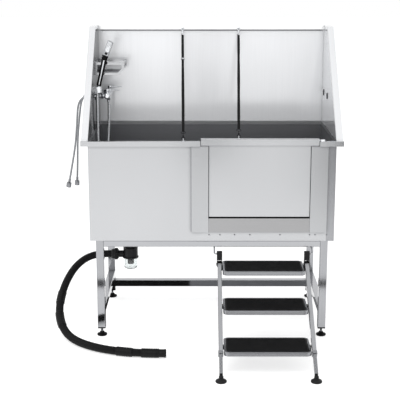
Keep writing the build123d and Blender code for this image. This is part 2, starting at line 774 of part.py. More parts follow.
with BuildPart() as spray_button:
    button_base = button_foot + button_side * (button_travel + part_gap)
    rod(Plane(origin=button_base, z_dir=button_side), button_r, 7.5)
    fillet(spray_button.edges().sort_by(Axis.X)[-1], 1.5)
write(spray_button.part, "spray_button")

head_lean = math.radians(head_tilt)
head_up = Vector(math.sin(head_lean), 0, math.cos(head_lean))
head_foot = spray_seat + spray_up * spray_handle_length
with BuildPart() as spray_head:
    rod(Plane(origin=head_foot, x_dir=(0, 1, 0), z_dir=head_up), 16.5, spray_head_length)
    fillet(spray_head.edges().sort_by(Axis.Z)[-1], 4)
    split(bisect_by=spray_base.offset(spray_handle_length), keep=Keep.TOP)
write(spray_head.part, "spray_head")

# The shower hose hangs from the mixer's outlet and from the spray as one long U inside the tub.
hose_top = spray_seat - spray_up * spigot_length - Vector(0, 0, spray_spigot_r * 0.29)
shower_route = [
    (tap_x, tap_mid_y, outlet_z),
    (tap_x, tap_mid_y, tap_z - 115),
    (left + 57, tap_mid_y - 1, tap_z - 215),
    (left + 50, tap_mid_y - 3, pan_top + 338),
    (left + 44, tap_mid_y - 4, pan_top + 238),
    (left + 40, tap_mid_y - 5, pan_top + 168),
    (left + 37, tap_mid_y - 6, pan_top + 110),
    (left + 35, tap_mid_y - 7, pan_top + 57),
    (left + 32, tap_mid_y - 23, pan_top + 28),
    (left + 30, tap_mid_y - 51, pan_top + 12),
    (left + 27, spray_y + 44, pan_top + 12),
    (left + 25, spray_y + 16, pan_top + 28),
    (left + 22, spray_y, pan_top + 57),
    (left + 20, spray_y - 1, pan_top + 110),
    (left + 19, spray_y - 2, pan_top + 178),
    (left + 17, spray_y - 1, pan_top + 278),
    (left + 15, spray_y, pan_top + 388),
    (left + 14, spray_y - 1, tap_z - 165),
    (hose_top.X, spray_y, tap_z - 65),
    (hose_top.X, spray_y, hose_top.Z),
]
with BuildPart() as shower_hose:
    hose("shower hose", shower_route, shower_hose_d)
write(shower_hose.part, "shower_hose")

# ================================================================ supply hoses outside the wall
hot_route = [
    (nut_end, tap_front_y, tap_z),
    (left - 41, tap_front_y, tap_z),
    (left - 61, tap_front_y, tap_z - 7),
    (left - 77, tap_front_y + 1, tap_z - 21),
    (left - 88, tap_front_y + 2, tap_z - 40),
    (left - 94, tap_front_y + 3, tap_z - 65),
    (left - 98, tap_front_y + 6, tap_z - 105),
    (left - 103, tap_front_y + 9, tap_z - 165),
    (left - 111, tap_front_y + 14, tap_z - 245),
    (left - 124, tap_front_y + 19, tap_z - 320),
    (left - 139, tap_front_y + 23, tap_z - 395),
    (left - 153, tap_front_y + 26, tap_z - 465),
]
cold_route = [
    (nut_end, tap_back_y, tap_z),
    (left - 41, tap_back_y, tap_z),
    (left - 61, tap_back_y, tap_z - 7),
    (left - 78, tap_back_y - 1, tap_z - 22),
    (left - 89, tap_back_y - 3, tap_z - 43),
    (left - 96, tap_back_y - 5, tap_z - 71),
    (left - 101, tap_back_y - 8, tap_z - 110),
    (left - 108, tap_back_y - 13, tap_z - 175),
    (left - 115, tap_back_y - 18, tap_z - 250),
    (left - 117, tap_back_y - 22, tap_z - 325),
    (left - 119, tap_back_y - 25, tap_z - 405),
    (left - 123, tap_back_y - 27, tap_z - 475),
]
for label, route in (("supply_hose_hot", hot_route), ("supply_hose_cold", cold_route)):
    with BuildPart() as supply_hose:
        hose(label, route, supply_hose_d)
    write(supply_hose.part, label)

with BuildPart() as supply_hose_nuts:
    for route in (hot_route, cold_route):
        hose_end = Vector(*route[-1])
        nut_plane = Plane(origin=hose_end, z_dir=hose_end - Vector(*route[-2]))
        rod(nut_plane, 8, 8)
        with BuildSketch(nut_plane.offset(8)):
            RegularPolygon(13.5, 6)
        extrude(amount=18)
        rod(nut_plane.offset(12), 9.3, 14, mode=Mode.SUBTRACT)
write(supply_hose_nuts.part, "supply_hose_nuts")

# ================================================================ shampoo shelf on the left wall
shelf_y0 = tap_front_y - 22
shelf_y1 = shelf_y0 + shelf_length
shelf_x0 = -inner_x
shelf_x1 = shelf_x0 + shelf_reach
slope_cut = 28
with BuildPart() as shampoo_shelf:
    block((shelf_x0, shelf_x1 - slope_cut), (shelf_y0, shelf_y1), (shelf_z, shelf_z + sheet))
    for y in (shelf_y0, shelf_y1 - sheet):
        with BuildSketch(Plane(origin=(shelf_x0, y + sheet, shelf_z), x_dir=(1, 0, 0),
                               z_dir=(0, -1, 0))):
            with BuildLine():
                Polyline((0, 0), (shelf_reach - slope_cut, 0), (shelf_reach, slope_cut),
                         (shelf_reach, shelf_height), (0, shelf_height), close=True)
            make_face()
            with BuildLine():
                Polyline((12, 12), (shelf_reach - slope_cut - 5, 12),
                         (shelf_reach - 12, slope_cut + 5), (shelf_reach - 12, shelf_height - 12),
                         (12, shelf_height - 12), close=True)
            make_face(mode=Mode.SUBTRACT)
        extrude(amount=sheet)
    rail_y = shelf_y1 - shelf_y0
    for height in (shelf_height - 6, slope_cut + 4):
        rod(along_y(shelf_x1 - 6, shelf_y0, shelf_z + height), 4, rail_y)
    block((shelf_x0, shelf_x0 + sheet), (shelf_y0, shelf_y1), (shelf_z, shelf_z + shelf_height))
    with BuildSketch(upward((shelf_x0 + shelf_x1 - slope_cut) / 2, (shelf_y0 + shelf_y1) / 2,
                            shelf_z)):
        with GridLocations(0, 22, 1, 7):
            SlotOverall(70, 8)
    extrude(amount=sheet, mode=Mode.SUBTRACT)
write(shampoo_shelf.part, "shampoo_shelf")

# ================================================================ tether straps
hem_front = inner_back - hem_depth
strap_high_y = hem_front - 12
strap_high_z = splash_top - hem_height + 2
strap_low_y = y_rim + 12


def strap_line(index):
    """Where a strap's fittings meet the hem and the rim, and the direction up the strap."""
    low_z = (rim_top if index == 0 else cap_top) + 14
    low = Vector(strap_low_x[index], strap_low_y, low_z)
    high = Vector(strap_top_x[index], strap_high_y, strap_high_z)
    return low, high, (high - low).normalized()


def snap_hook(end, direction, gap=0.0):
    """Add a snap hook: a ring at its end, a barrel, and a strap loop that meets the strap."""
    with Locations(Plane(origin=end, x_dir=(1, 0, 0), z_dir=direction).rotated((90, 0, 0))):
        Torus(8, 2)
    rod(Plane(origin=end + direction * 7, z_dir=direction), 3.5, 26)
    bar = Plane(origin=end + direction * 32, x_dir=(1, 0, 0), z_dir=direction)
    with BuildSketch(bar) as section:
        RectangleRounded(strap_width + 7, 6, 2.9)
    extrude(section.sketch, amount=fitting_length - 32 - gap)


for index, side in enumerate(("left", "right")):
    low, high, up = strap_line(index)
    with BuildPart() as tether_strap:
        strap_plane = Plane(origin=low + up * fitting_length, x_dir=(1, 0, 0), z_dir=up)
        with BuildSketch(strap_plane):
            Rectangle(strap_width, strap_thickness)
        extrude(amount=(high - low).length - 2 * fitting_length)
    write(tether_strap.part, f"tether_strap_{side}")


def staple(x, y, z):
    """Add a round eyelet plate with a standing ring for a snap hook."""
    rod(upward(x, y, z), 7.5, 2)
    with Locations(Plane(origin=(x, y, z + 8), x_dir=(0, 1, 0), z_dir=(1, 0, 0))):
        Torus(6, 1.8)


with BuildPart() as tether_fittings:
    for index in range(2):
        low, high, up = strap_line(index)
        snap_hook(high, -up)
        rod(Plane(origin=(high.X, hem_front, high.Z + 4), z_dir=(0, -1, 0)), 6, 6)
    low, high, up = strap_line(0)
    snap_hook(low, up)
    staple(low.X, strap_low_y - 2, rim_top)
write(tether_fittings.part, "tether_fittings")

with BuildPart() as tether_door_hook:
    low, high, up = strap_line(1)
    snap_hook(low, up, gap=0.6)
    staple(low.X, strap_low_y - 2, cap_top)
write(tether_door_hook.part, "tether_door_hook")
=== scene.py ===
"""Pet bathtub with steps: the finished surfaces, hoses, straps, materials and studio."""

import json
import math

import bpy
import numpy as np
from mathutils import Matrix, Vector


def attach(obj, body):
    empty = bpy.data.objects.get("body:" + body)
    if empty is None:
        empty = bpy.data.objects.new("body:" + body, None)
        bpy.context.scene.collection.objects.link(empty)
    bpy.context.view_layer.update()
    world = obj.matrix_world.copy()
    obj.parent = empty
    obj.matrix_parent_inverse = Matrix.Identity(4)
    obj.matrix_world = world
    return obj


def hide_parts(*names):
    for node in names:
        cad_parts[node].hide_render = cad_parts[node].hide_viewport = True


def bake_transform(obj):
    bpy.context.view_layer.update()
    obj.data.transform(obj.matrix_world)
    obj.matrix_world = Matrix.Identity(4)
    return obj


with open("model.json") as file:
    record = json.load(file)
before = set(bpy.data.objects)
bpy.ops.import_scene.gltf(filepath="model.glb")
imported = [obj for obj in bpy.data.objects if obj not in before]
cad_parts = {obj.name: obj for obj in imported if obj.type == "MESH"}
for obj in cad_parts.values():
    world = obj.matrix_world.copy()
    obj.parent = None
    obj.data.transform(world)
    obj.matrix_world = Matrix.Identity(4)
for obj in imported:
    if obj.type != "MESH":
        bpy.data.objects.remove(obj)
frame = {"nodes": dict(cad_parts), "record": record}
nodes = frame["nodes"]
slot_of = {row["node"]: row["material_slot"] for row in frame["record"]["subparts"]}
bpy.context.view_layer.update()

MM = 0.001
TURN = 2 * math.pi
# Planes in metres that part a sheet's two faces: halfway through the side and back walls' sheet.
SIDE_SHEET, BACK_SHEET = 0.6012, 0.6112
# Levels in metres: just over the basin's floor, its folded rim, and just over that rim.
OVER_FLOOR, RIM, OVER_RIM = 0.501, 0.98, 0.981
# Places in millimetres: the mixer's axis, its two taps along it, and the legs' centres.
MIXER_X, MIXER_Y, MIXER_Z = -540, 460, 1165
TAP_HOT_Y, TAP_COLD_Y = 385, 535
LEG_X, FRONT_LEG_Y, BACK_LEG_Y = 554.5, -8, 592
# The length in millimetres that a snap hook takes up at each end of a strap's run.
HOOK_RUN = 45
# A colour Mix node's inputs that show at zero and at one, and its output. Their names repeat on
# the node, so they are taken by number.
AT_ZERO, AT_ONE, MIXED = 6, 7, 2

# ---------------------------------------------------------------- camera
# The eye stands a little left of the middle, 1.83 m up and looks down by 13.35 degrees.
camera_data = bpy.data.cameras.new("camera")
camera_data.lens = 89.72
camera_data.sensor_width = 36.0
camera = bpy.data.objects.new("camera", camera_data)
camera.location = (-0.0504, -4.7729, 1.8337)
camera.rotation_euler = (math.radians(90 - 13.35), 0.0, 0.0017)
bpy.context.scene.collection.objects.link(camera)
bpy.context.scene.camera = camera
bpy.context.scene.view_settings.view_transform = "Standard"


# ---------------------------------------------------------------- surfaces
def mesh_piece(name, points, faces, across=None):
    """A smooth mesh object at the origin; across gives each face corner its place on the skin."""
    mesh = bpy.data.meshes.new(name)
    mesh.from_pydata(np.asarray(points, float).tolist(), [], [[int(v) for v in f] for f in faces])
    mesh.update()
    mesh.polygons.foreach_set("use_smooth", [True] * len(mesh.polygons))
    if across is not None:
        skin = mesh.uv_layers.new(name="skin")
        spread = np.zeros((len(mesh.loops), 2))
        spread[:len(across)] = across
        skin.data.foreach_set("uv", spread.ravel())
    mesh.set_sharp_from_angle(angle=math.radians(38))
    piece = bpy.data.objects.new(name, mesh)
    bpy.context.scene.collection.objects.link(piece)
    return piece


def points_of(mesh):
    """A mesh's vertices as rows of x, y and z."""
    flat = np.empty(3 * len(mesh.vertices), np.float32)
    mesh.vertices.foreach_get("co", flat)
    return flat.reshape(-1, 3).astype(float)


def wrapped(rows, columns):
    """Quads over rows of points that close on themselves, with each corner's row and column."""
    i, j = np.meshgrid(np.arange(rows - 1), np.arange(columns), indexing="ij")
    i, j = i.ravel(), j.ravel()
    row = np.stack([i, i, i + 1, i + 1], 1)
    column = np.stack([j, j + 1, j + 1, j], 1)
    return row * columns + column % columns, row, column


def square_to(direction):
    """Two unit vectors square to a direction and to each other."""
    d = np.asarray(direction, float)
    d = d / np.linalg.norm(d)
    side = np.array([0.0, 0.0, 1.0]) if abs(d[2]) < 0.9 else np.array([1.0, 0.0, 0.0])
    a = np.cross(side, d)
    a /= np.linalg.norm(a)
    return a, np.cross(d, a)


def loft(name, path, sections, capped=True):
    """A skin through one section at each point of a path, in metres. The first section's own x
    and y lie square to the path, and each next pair is the last one with its part along the
    path's new direction taken away, so that the skin doesn't twist."""
    path = np.asarray(path, float)
    sections = np.asarray(sections, float)
    rows, columns = sections.shape[:2]
    ahead = np.gradient(path, axis=0)
    ahead /= np.linalg.norm(ahead, axis=1)[:, None]
    first = np.zeros_like(path)
    first[0] = square_to(ahead[0])[0]
    for k in range(1, rows):
        left = first[k - 1] - ahead[k] * np.dot(first[k - 1], ahead[k])
        first[k] = left / np.linalg.norm(left)
    second = np.cross(ahead, first)
    points = (path[:, None] + sections[..., :1] * first[:, None]
              + sections[..., 1:] * second[:, None]).reshape(-1, 3)
    faces, row, column = wrapped(rows, columns)
    gone = np.r_[0, np.cumsum(np.linalg.norm(np.diff(path, axis=0), axis=1))]
    across = np.stack([gone[row].ravel(), column.ravel() / columns], 1)
    faces = faces.tolist()
    if capped:
        faces.append(list(range(columns))[::-1])
        faces.append([(rows - 1) * columns + k for k in range(columns)])
    return mesh_piece(name, points, faces, across)


def ring(count, power=2.0):
    """A closed section of half-width one: a circle at power 2, squarer as the power grows."""
    angle = np.linspace(0, TURN, count, endpoint=False)
    c, s = np.cos(angle), np.sin(angle)
    return np.stack([np.sign(c) * np.abs(c) ** (2 / power),
                     np.sign(s) * np.abs(s) ** (2 / power)], 1)


def turned(name, outline, start, direction, segments=40):
    """A turned piece: at each distance along its axis, a circle of the given radius (mm)."""
    outline = np.asarray(outline, float) * MM
    d = np.asarray(direction, float) / np.linalg.norm(direction)
    a, b = square_to(d)
    angle = np.linspace(0, TURN, segments, endpoint=False)
    circle = np.cos(angle)[:, None] * a + np.sin(angle)[:, None] * b
    points = (np.asarray(start, float) * MM + outline[:, :1, None] * d
              + outline[:, 1:, None] * circle).reshape(-1, 3)
    faces, _, _ = wrapped(len(outline), segments)
    faces = faces.tolist() + [list(range(segments))[::-1],
                              [(len(outline) - 1) * segments + k for k in range(segments)]]
    return mesh_piece(name, points, faces)


def swept(name, outline, radius_at, start, direction, segments=72):
    """A piece along an axis whose radius (mm) at each row is radius_at(row radius, angle)."""
    outline = np.asarray(outline, float)
    d = np.asarray(direction, float) / np.linalg.norm(direction)
    a, b = square_to(d)
    angle = np.linspace(0, TURN, segments, endpoint=False)
    radius = radius_at(outline[:, 1:], angle[None, :]) * MM
    circle = np.cos(angle)[:, None] * a + np.sin(angle)[:, None] * b
    points = (np.asarray(start, float) * MM + outline[:, :1, None] * MM * d
              + radius[..., None] * circle).reshape(-1, 3)
    faces, _, _ = wrapped(len(outline), segments)
    faces = faces.tolist() + [list(range(segments))[::-1],
                              [(len(outline) - 1) * segments + k for k in range(segments)]]
    return mesh_piece(name, points, faces)


def joined(name, pieces):
    """One piece from several that share a finish."""
    points = [points_of(piece.data) for piece in pieces]
    faces, start = [], 0
    for piece in pieces:
        faces += [[start + v for v in p.vertices] for p in piece.data.polygons]
        start += len(piece.data.vertices)
        bpy.data.objects.remove(piece)
    return mesh_piece(name, np.concatenate(points), faces)


# ---------------------------------------------------------------- materials
def linear(hex_colour):
    """An sRGB hex colour as linear red, green, blue and alpha."""
    parts = [int(hex_colour[i:i + 2], 16) / 255 for i in (1, 3, 5)]
    return [c / 12.92 if c <= 0.04045 else ((c + 0.055) / 1.055) ** 2.4 for c in parts] + [1.0]


def new_shader(name, **sockets):
    """A new material whose shader has the given uniform values on its own sockets."""
    material = bpy.data.materials.new(name)
    material.use_nodes = True
    surface = material.node_tree.nodes["Principled BSDF"]
    for key, value in sockets.items():
        surface.inputs[key.replace("_", " ")].default_value = value
    return material, material.node_tree, surface


def add(tree, kind, settings=None, sockets=None):
    """Add a node with its settings, and give each named or numbered input a value or a link."""
    node = tree.nodes.new(kind)
    for key, value in (settings or {}).items():
        setattr(node, key, value)
    for key, value in (sockets or {}).items():
        if isinstance(value, bpy.types.NodeSocket):
            tree.links.new(value, node.inputs[key])
        else:
            node.inputs[key].default_value = value
    return node


def noise(tree, place, stretch, detail=3.0):
    """Noise whose scale along each object axis is given in waves a metre."""
    spread = add(tree, "ShaderNodeMapping", None, {"Vector": place, "Scale": stretch})
    return add(tree, "ShaderNodeTexNoise", None,
               {"Vector": spread.outputs[0], "Scale": 1.0, "Detail": detail}).outputs["Fac"]


def within(tree, place, low, high):
    """One where an object point lies inside a box of space, and zero outside."""
    above = add(tree, "ShaderNodeVectorMath", {"operation": "SUBTRACT"}, {0: place, 1: low})
    below = add(tree, "ShaderNodeVectorMath", {"operation": "SUBTRACT"}, {0: high, 1: place})
    nearest_side = add(tree, "ShaderNodeVectorMath", {"operation": "MINIMUM"},
                       {0: above.outputs[0], 1: below.outputs[0]})
    parts = add(tree, "ShaderNodeSeparateXYZ", None, {0: nearest_side.outputs[0]})
    two = add(tree, "ShaderNodeMath", {"operation": "MINIMUM"},
              {0: parts.outputs[0], 1: parts.outputs[1]})
    three = add(tree, "ShaderNodeMath", {"operation": "MINIMUM"},
                {0: two.outputs[0], 1: parts.outputs[2]})
    return add(tree, "ShaderNodeMath", {"operation": "GREATER_THAN"},
               {0: three.outputs[0], 1: 0.0}).outputs[0]


def brushed(name, light, dark, roughness, grain, lay=0.2, crevice_shade="#6F7073", diffuse=0.0,
            patches=()):
    """Brushed sheet metal: grain stretched along the brushing, broad soft waves in the gloss, and
    painted shade in tight corners, where ambient occlusion darkens the tone. Each patch gives the
    corners of a box of space, in which the sheet has its own tone, all over or in upright streaks;
    some patches paint shade, a highlight and a reflection into the tone."""
    material, tree, surface = new_shader(name, Metallic=1.0 - diffuse)
    place = add(tree, "ShaderNodeTexCoord").outputs["Object"]
    lines = noise(tree, place, grain)
    broad = noise(tree, place, (1.5, 1.5, 1.5), 1.0)
    tone = add(tree, "ShaderNodeMix", {"data_type": "RGBA"},
               {0: lines, AT_ZERO: linear(dark), AT_ONE: linear(light)})
    cloud = add(tree, "ShaderNodeMapRange", None,
                {"Value": noise(tree, place, (2.5, 2.5, 1.2), 2.0), "To Min": 0.0,
                 "To Max": 0.14})
    tone = add(tree, "ShaderNodeMix", {"data_type": "RGBA", "blend_type": "MULTIPLY"},
               {0: cloud.outputs[0], AT_ZERO: tone.outputs[MIXED], AT_ONE: linear("#8A8B8E")})
    for low, high, own, streaky in patches:
        share = within(tree, place, low, high)
        if streaky:
            runs = add(tree, "ShaderNodeMapRange", None,
                       {"Value": noise(tree, place, (1, 38, 1.3), 2.0), "To Min": 0.3,
                        "To Max": 2.2})
            share = add(tree, "ShaderNodeMath", {"operation": "MULTIPLY", "use_clamp": True},
                        {0: share, 1: runs.outputs[0]}).outputs[0]
        tone = add(tree, "ShaderNodeMix", {"data_type": "RGBA"},
                   {0: share, AT_ZERO: tone.outputs[MIXED], AT_ONE: linear(own)})
    fine = add(tree, "ShaderNodeMapRange", None,
               {"Value": lines, "To Min": roughness - 0.05, "To Max": roughness + 0.05})
    slow = add(tree, "ShaderNodeMapRange", None,
               {"Value": broad, "To Min": -0.05, "To Max": 0.05})
    gloss = add(tree, "ShaderNodeMath", {"operation": "ADD"},
                {0: fine.outputs[0], 1: slow.outputs[0]})
    bump = add(tree, "ShaderNodeBump", None, {"Strength": lay, "Distance": 0.0001, "Height": lines})
    # Painted shade: ambient occlusion mixes the tone towards the crevice shade colour in tight
    # corners and under lips.
    near = add(tree, "ShaderNodeAmbientOcclusion", {"samples": 8, "only_local": False},
               {"Distance": 0.022, "Color": tone.outputs[MIXED]})
    painted_shade = add(tree, "ShaderNodeMapRange", None,
                {"Value": near.outputs["AO"], "From Min": 0.35, "From Max": 0.95})
    tone = add(tree, "ShaderNodeMix", {"data_type": "RGBA"},
               {0: painted_shade.outputs[0], AT_ZERO: linear(crevice_shade), AT_ONE: tone.outputs[MIXED]})
    tree.links.new(tone.outputs[MIXED], surface.inputs["Base Color"])
    tree.links.new(gloss.outputs[0], surface.inputs["Roughness"])
    tree.links.new(bump.outputs[0], surface.inputs["Normal"])
    return material


def polished(name, colour, roughness):
    """Plated metal: near-mirror, with a slow ripple in the plating."""
    material, tree, surface = new_shader(name, Metallic=1.0, Base_Color=linear(colour))
    place = add(tree, "ShaderNodeTexCoord").outputs["Object"]
    ripple = noise(tree, place, (120, 120, 120), 2.0)
    bump = add(tree, "ShaderNodeBump", None,
               {"Strength": 0.15, "Distance": 0.0002, "Height": ripple})
    gloss = add(tree, "ShaderNodeMapRange", None,
                {"Value": ripple, "To Min": roughness * 0.6, "To Max": roughness * 1.6})
    tree.links.new(gloss.outputs[0], surface.inputs["Roughness"])
    tree.links.new(bump.outputs[0], surface.inputs["Normal"])
    return material


def moulded(name, light, dark, roughness, grain, depth, sheen=0.25):
    """Moulded black skin: fine grain in the height and the gloss, and slow dusty patches in its
    tone."""
    material, tree, surface = new_shader(name, Specular_IOR_Level=sheen)
    place = add(tree, "ShaderNodeTexCoord").outputs["Object"]
    skin = noise(tree, place, (grain, grain, grain), 4.0)
    dust = noise(tree, place, (22, 22, 22), 3.0)
    tone = add(tree, "ShaderNodeMix", {"data_type": "RGBA"},
               {0: dust, AT_ZERO: linear(dark), AT_ONE: linear(light)})
    bump = add(tree, "ShaderNodeBump", None,
               {"Strength": 0.35, "Distance": depth, "Height": skin})
    gloss = add(tree, "ShaderNodeMapRange", None,
                {"Value": skin, "To Min": roughness - 0.1, "To Max": roughness + 0.12})
    tree.links.new(tone.outputs[MIXED], surface.inputs["Base Color"])
    tree.links.new(gloss.outputs[0], surface.inputs["Roughness"])
    tree.links.new(bump.outputs[0], surface.inputs["Normal"])
    return material


# Satin stainless front: brushed along X, so highlights smear up and down in soft bands. Its right
# end carries a painted reflection: a darker tone in a box at that end.
panel_steel = brushed("satin stainless front", "#C8C9CB", "#C0C1C3", 0.22, (5, 700, 700),
                      patches=[((0.5627, -0.1, 0.49), (0.61, -0.02, 0.977), "#A3A4A7", False)])
# Door guides and sill: the same sheet, ground a little coarser, with painted shade on the sill: a
# darker tone there.
guide_steel = brushed("satin stainless guides", "#BFC0C2", "#B6B7B9", 0.24, (5, 700, 700),
                      patches=[((-0.018, -0.05, 0.5), (0.480, 0.0, 0.6172), "#A3A3A4", False)])
# Step trays: stamped steel with a duller satin.
tray_steel = brushed("satin stainless tray", "#9C9DA0", "#8C8D90", 0.2, (5, 700, 700))
# The frame's tube, brushed along its length: upright on the legs and level on the rails.
leg_steel = brushed("satin stainless leg tube", "#B0B1B4", "#9FA0A3", 0.1, (700, 700, 5))
rail_steel = brushed("satin stainless rail tube", "#B9BABD", "#A9AAAD", 0.11, (6, 700, 700))
# Back splash wall: mill-bright sheet that is whiter and smoother, with upright rolling marks. Its
# top hem carries a painted highlight, pure white, with a painted shadow under it, a dark line; its
# outside is a plain grey.
splash_steel = brushed("mill-bright splash sheet", "#ECEDEF", "#E4E5E7", 0.16, (260, 260, 4), 0.1,
                       diffuse=0.76, crevice_shade="#D6D7D9",
                       patches=[((-0.7, 0.58, 1.4925), (0.7, 0.6, 1.52), "#FFFFFF", False),
                                ((-0.7, 0.605, 1.483), (0.7, BACK_SHEET, 1.4935), "#808184",
                                 False),
                                ((-0.7, BACK_SHEET, RIM), (0.7, 0.613, 1.52), "#C6C7C9",
                                 False)])
# Side splash walls: bright on their flanges and a plain grey outside. The left one is dark and
# streaked inside, round the taps.
left_steel = brushed("streaked splash sheet", "#F1F2F4", "#E2E3E5", 0.12, (260, 260, 3), 0.1,
                     diffuse=0.25,
                     patches=[((-SIDE_SHEET, -0.02, RIM), (-0.59, 0.613, 1.5), "#38393B", True),
                              ((-0.6030, -0.1, RIM), (-SIDE_SHEET, 0.7, 1.6), "#C6C7C9",
                               False)])
right_steel = brushed("bright splash side", "#EFF0F2", "#E6E7E9", 0.13, (260, 260, 4), 0.1,
                      diffuse=0.35,
                      patches=[((SIDE_SHEET, -0.1, RIM), (0.6030, 0.7, 1.6), "#C6C7C9", False)])
# Basin sheet: satin steel, bright outside and an even dark grey inside, where it stands in its
# own shade.
basin_steel, tree, surface = new_shader("basin sheet", Roughness=0.36)
place = add(tree, "ShaderNodeTexCoord").outputs["Object"]
lines = noise(tree, place, (5, 600, 600))
at = add(tree, "ShaderNodeSeparateXYZ", None, {0: place})
width = add(tree, "ShaderNodeMath", {"operation": "ABSOLUTE"}, {0: at.outputs[0]})
inside = None
for value, way, limit in ((width.outputs[0], "LESS_THAN", SIDE_SHEET),
                          (at.outputs[1], "LESS_THAN", BACK_SHEET),
                          (at.outputs[2], "GREATER_THAN", OVER_FLOOR),
                          (at.outputs[2], "LESS_THAN", OVER_RIM)):
    test = add(tree, "ShaderNodeMath", {"operation": way}, {0: value, 1: limit}).outputs[0]
    inside = test if inside is None else add(tree, "ShaderNodeMath", {"operation": "MULTIPLY"},
                                             {0: inside, 1: test}).outputs[0]
outer = add(tree, "ShaderNodeMix", {"data_type": "RGBA"},
            {0: lines, AT_ZERO: linear("#BFC0C2"), AT_ONE: linear("#CACBCD")})
inner = add(tree, "ShaderNodeMix", {"data_type": "RGBA"},
            {0: lines, AT_ZERO: linear("#6B6C6F"), AT_ONE: linear("#76777A")})
tone = add(tree, "ShaderNodeMix", {"data_type": "RGBA"},
           {0: inside, AT_ZERO: outer.outputs[MIXED], AT_ONE: inner.outputs[MIXED]})
metal = add(tree, "ShaderNodeMapRange", None, {"Value": inside, "To Min": 1.0, "To Max": 0.55})
gloss = add(tree, "ShaderNodeMapRange", None, {"Value": lines, "To Min": 0.28, "To Max": 0.42})
tree.links.new(tone.outputs[MIXED], surface.inputs["Base Color"])
tree.links.new(metal.outputs[0], surface.inputs["Metallic"])
tree.links.new(gloss.outputs[0], surface.inputs["Roughness"])
# Chromed brass of the mixer, spray and strap fittings: near-mirror.
chrome = polished("chrome plate", "#E6E8EB", 0.07)
# Satin chrome of the spray head: a duller, darker plate.
satin_chrome = polished("satin chrome plate", "#B4B6B9", 0.2)
# Blackened snaps at the straps' lower ends.
black_chrome = polished("blackened steel", "#2A2A2D", 0.25)
# Zinc-plated lower step legs, foot stems, bolts and screws: duller and greyer.
zinc = polished("zinc plate", "#8F9093", 0.26)
# Glass-filled nylon of the trap, brackets, plugs and step pads: satin black with a sand grain.
nylon = moulded("moulded black nylon", "#141416", "#0B0B0D", 0.4, 900, 0.0002)
# Rubber seal, step mats, foot pads and spray grip: deeper and more matte.
rubber = moulded("black rubber", "#0B0B0C", "#060607", 0.5, 1300, 0.00015, 0.1)
# PVC of the drain hose: slightly greyer black with a soft sheen on its ribs.
hose_pvc = moulded("black PVC hose", "#121213", "#0A0A0B", 0.4, 700, 0.00015, 0.16)

# Clear trap cup: polycarbonate, lightly fogged in patches by use.
clear_cup, tree, surface = new_shader("clear polycarbonate", Base_Color=linear("#F1F4F4"),
                                      IOR=1.58, Transmission_Weight=1.0)
place = add(tree, "ShaderNodeTexCoord").outputs["Object"]
fog = add(tree, "ShaderNodeMapRange", None,
          {"Value": noise(tree, place, (60, 60, 60)), "To Min": 0.04, "To Max": 0.16})
tree.links.new(fog.outputs[0], surface.inputs["Roughness"])

# Black webbing: a herringbone of yarns 1.6 mm apart, dull with a faint nylon sheen.
webbing, tree, surface = new_shader("black nylon webbing", Base_Color=linear("#09090A"),
                                    Roughness=0.78, Specular_IOR_Level=0.2)
skin = add(tree, "ShaderNodeSeparateXYZ", None,
           {0: add(tree, "ShaderNodeTexCoord").outputs["UV"]})
zigzag = add(tree, "ShaderNodeMath", {"operation": "PINGPONG"}, {0: skin.outputs[1], 1: 0.125})
slant = add(tree, "ShaderNodeMath", {"operation": "MULTIPLY"}, {0: zigzag.outputs[0], 1: 50.0})
yarns = add(tree, "ShaderNodeMath", {"operation": "MULTIPLY_ADD"},
            {0: skin.outputs[0], 1: TURN / 0.0016, 2: slant.outputs[0]})
weave = add(tree, "ShaderNodeMath", {"operation": "SINE"}, {0: yarns.outputs[0]})
bump = add(tree, "ShaderNodeBump", None,
           {"Strength": 0.6, "Distance": 0.0003, "Height": weave.outputs[0]})
tree.links.new(bump.outputs[0], surface.inputs["Normal"])

# Braided steel sleeve: two crossing sets of 12 wires, with painted shade in the gaps between them.
# A set's wires are 3.2 mm apart along the hose, coarser than the real braid, so that they show.
braid, tree, surface = new_shader("braided steel sleeve", Metallic=1.0, Roughness=0.33)
skin = add(tree, "ShaderNodeSeparateXYZ", None,
           {0: add(tree, "ShaderNodeTexCoord").outputs["UV"]})
wires = []
for hand in (-1, 1):
    round_it = add(tree, "ShaderNodeMath", {"operation": "MULTIPLY"},
                   {0: skin.outputs[1], 1: hand * 12 * TURN})
    along_it = add(tree, "ShaderNodeMath", {"operation": "MULTIPLY_ADD"},
                   {0: skin.outputs[0], 1: TURN / 0.0032, 2: round_it.outputs[0]})
    wires.append(add(tree, "ShaderNodeMath", {"operation": "SINE"}, {0: along_it.outputs[0]}))
cross = add(tree, "ShaderNodeMath", {"operation": "MAXIMUM"},
            {0: wires[0].outputs[0], 1: wires[1].outputs[0]})
lit = add(tree, "ShaderNodeMapRange", None,
          {"Value": cross.outputs[0], "From Min": -1.0, "From Max": 0.6})
tone = add(tree, "ShaderNodeMix", {"data_type": "RGBA"},
           {0: lit.outputs[0], AT_ZERO: linear("#3A3B3D"), AT_ONE: linear("#A4A6A9")})
bump = add(tree, "ShaderNodeBump", None,
           {"Strength": 0.7, "Distance": 0.0004, "Height": lit.outputs[0]})
tree.links.new(tone.outputs[MIXED], surface.inputs["Base Color"])
tree.links.new(bump.outputs[0], surface.inputs["Normal"])

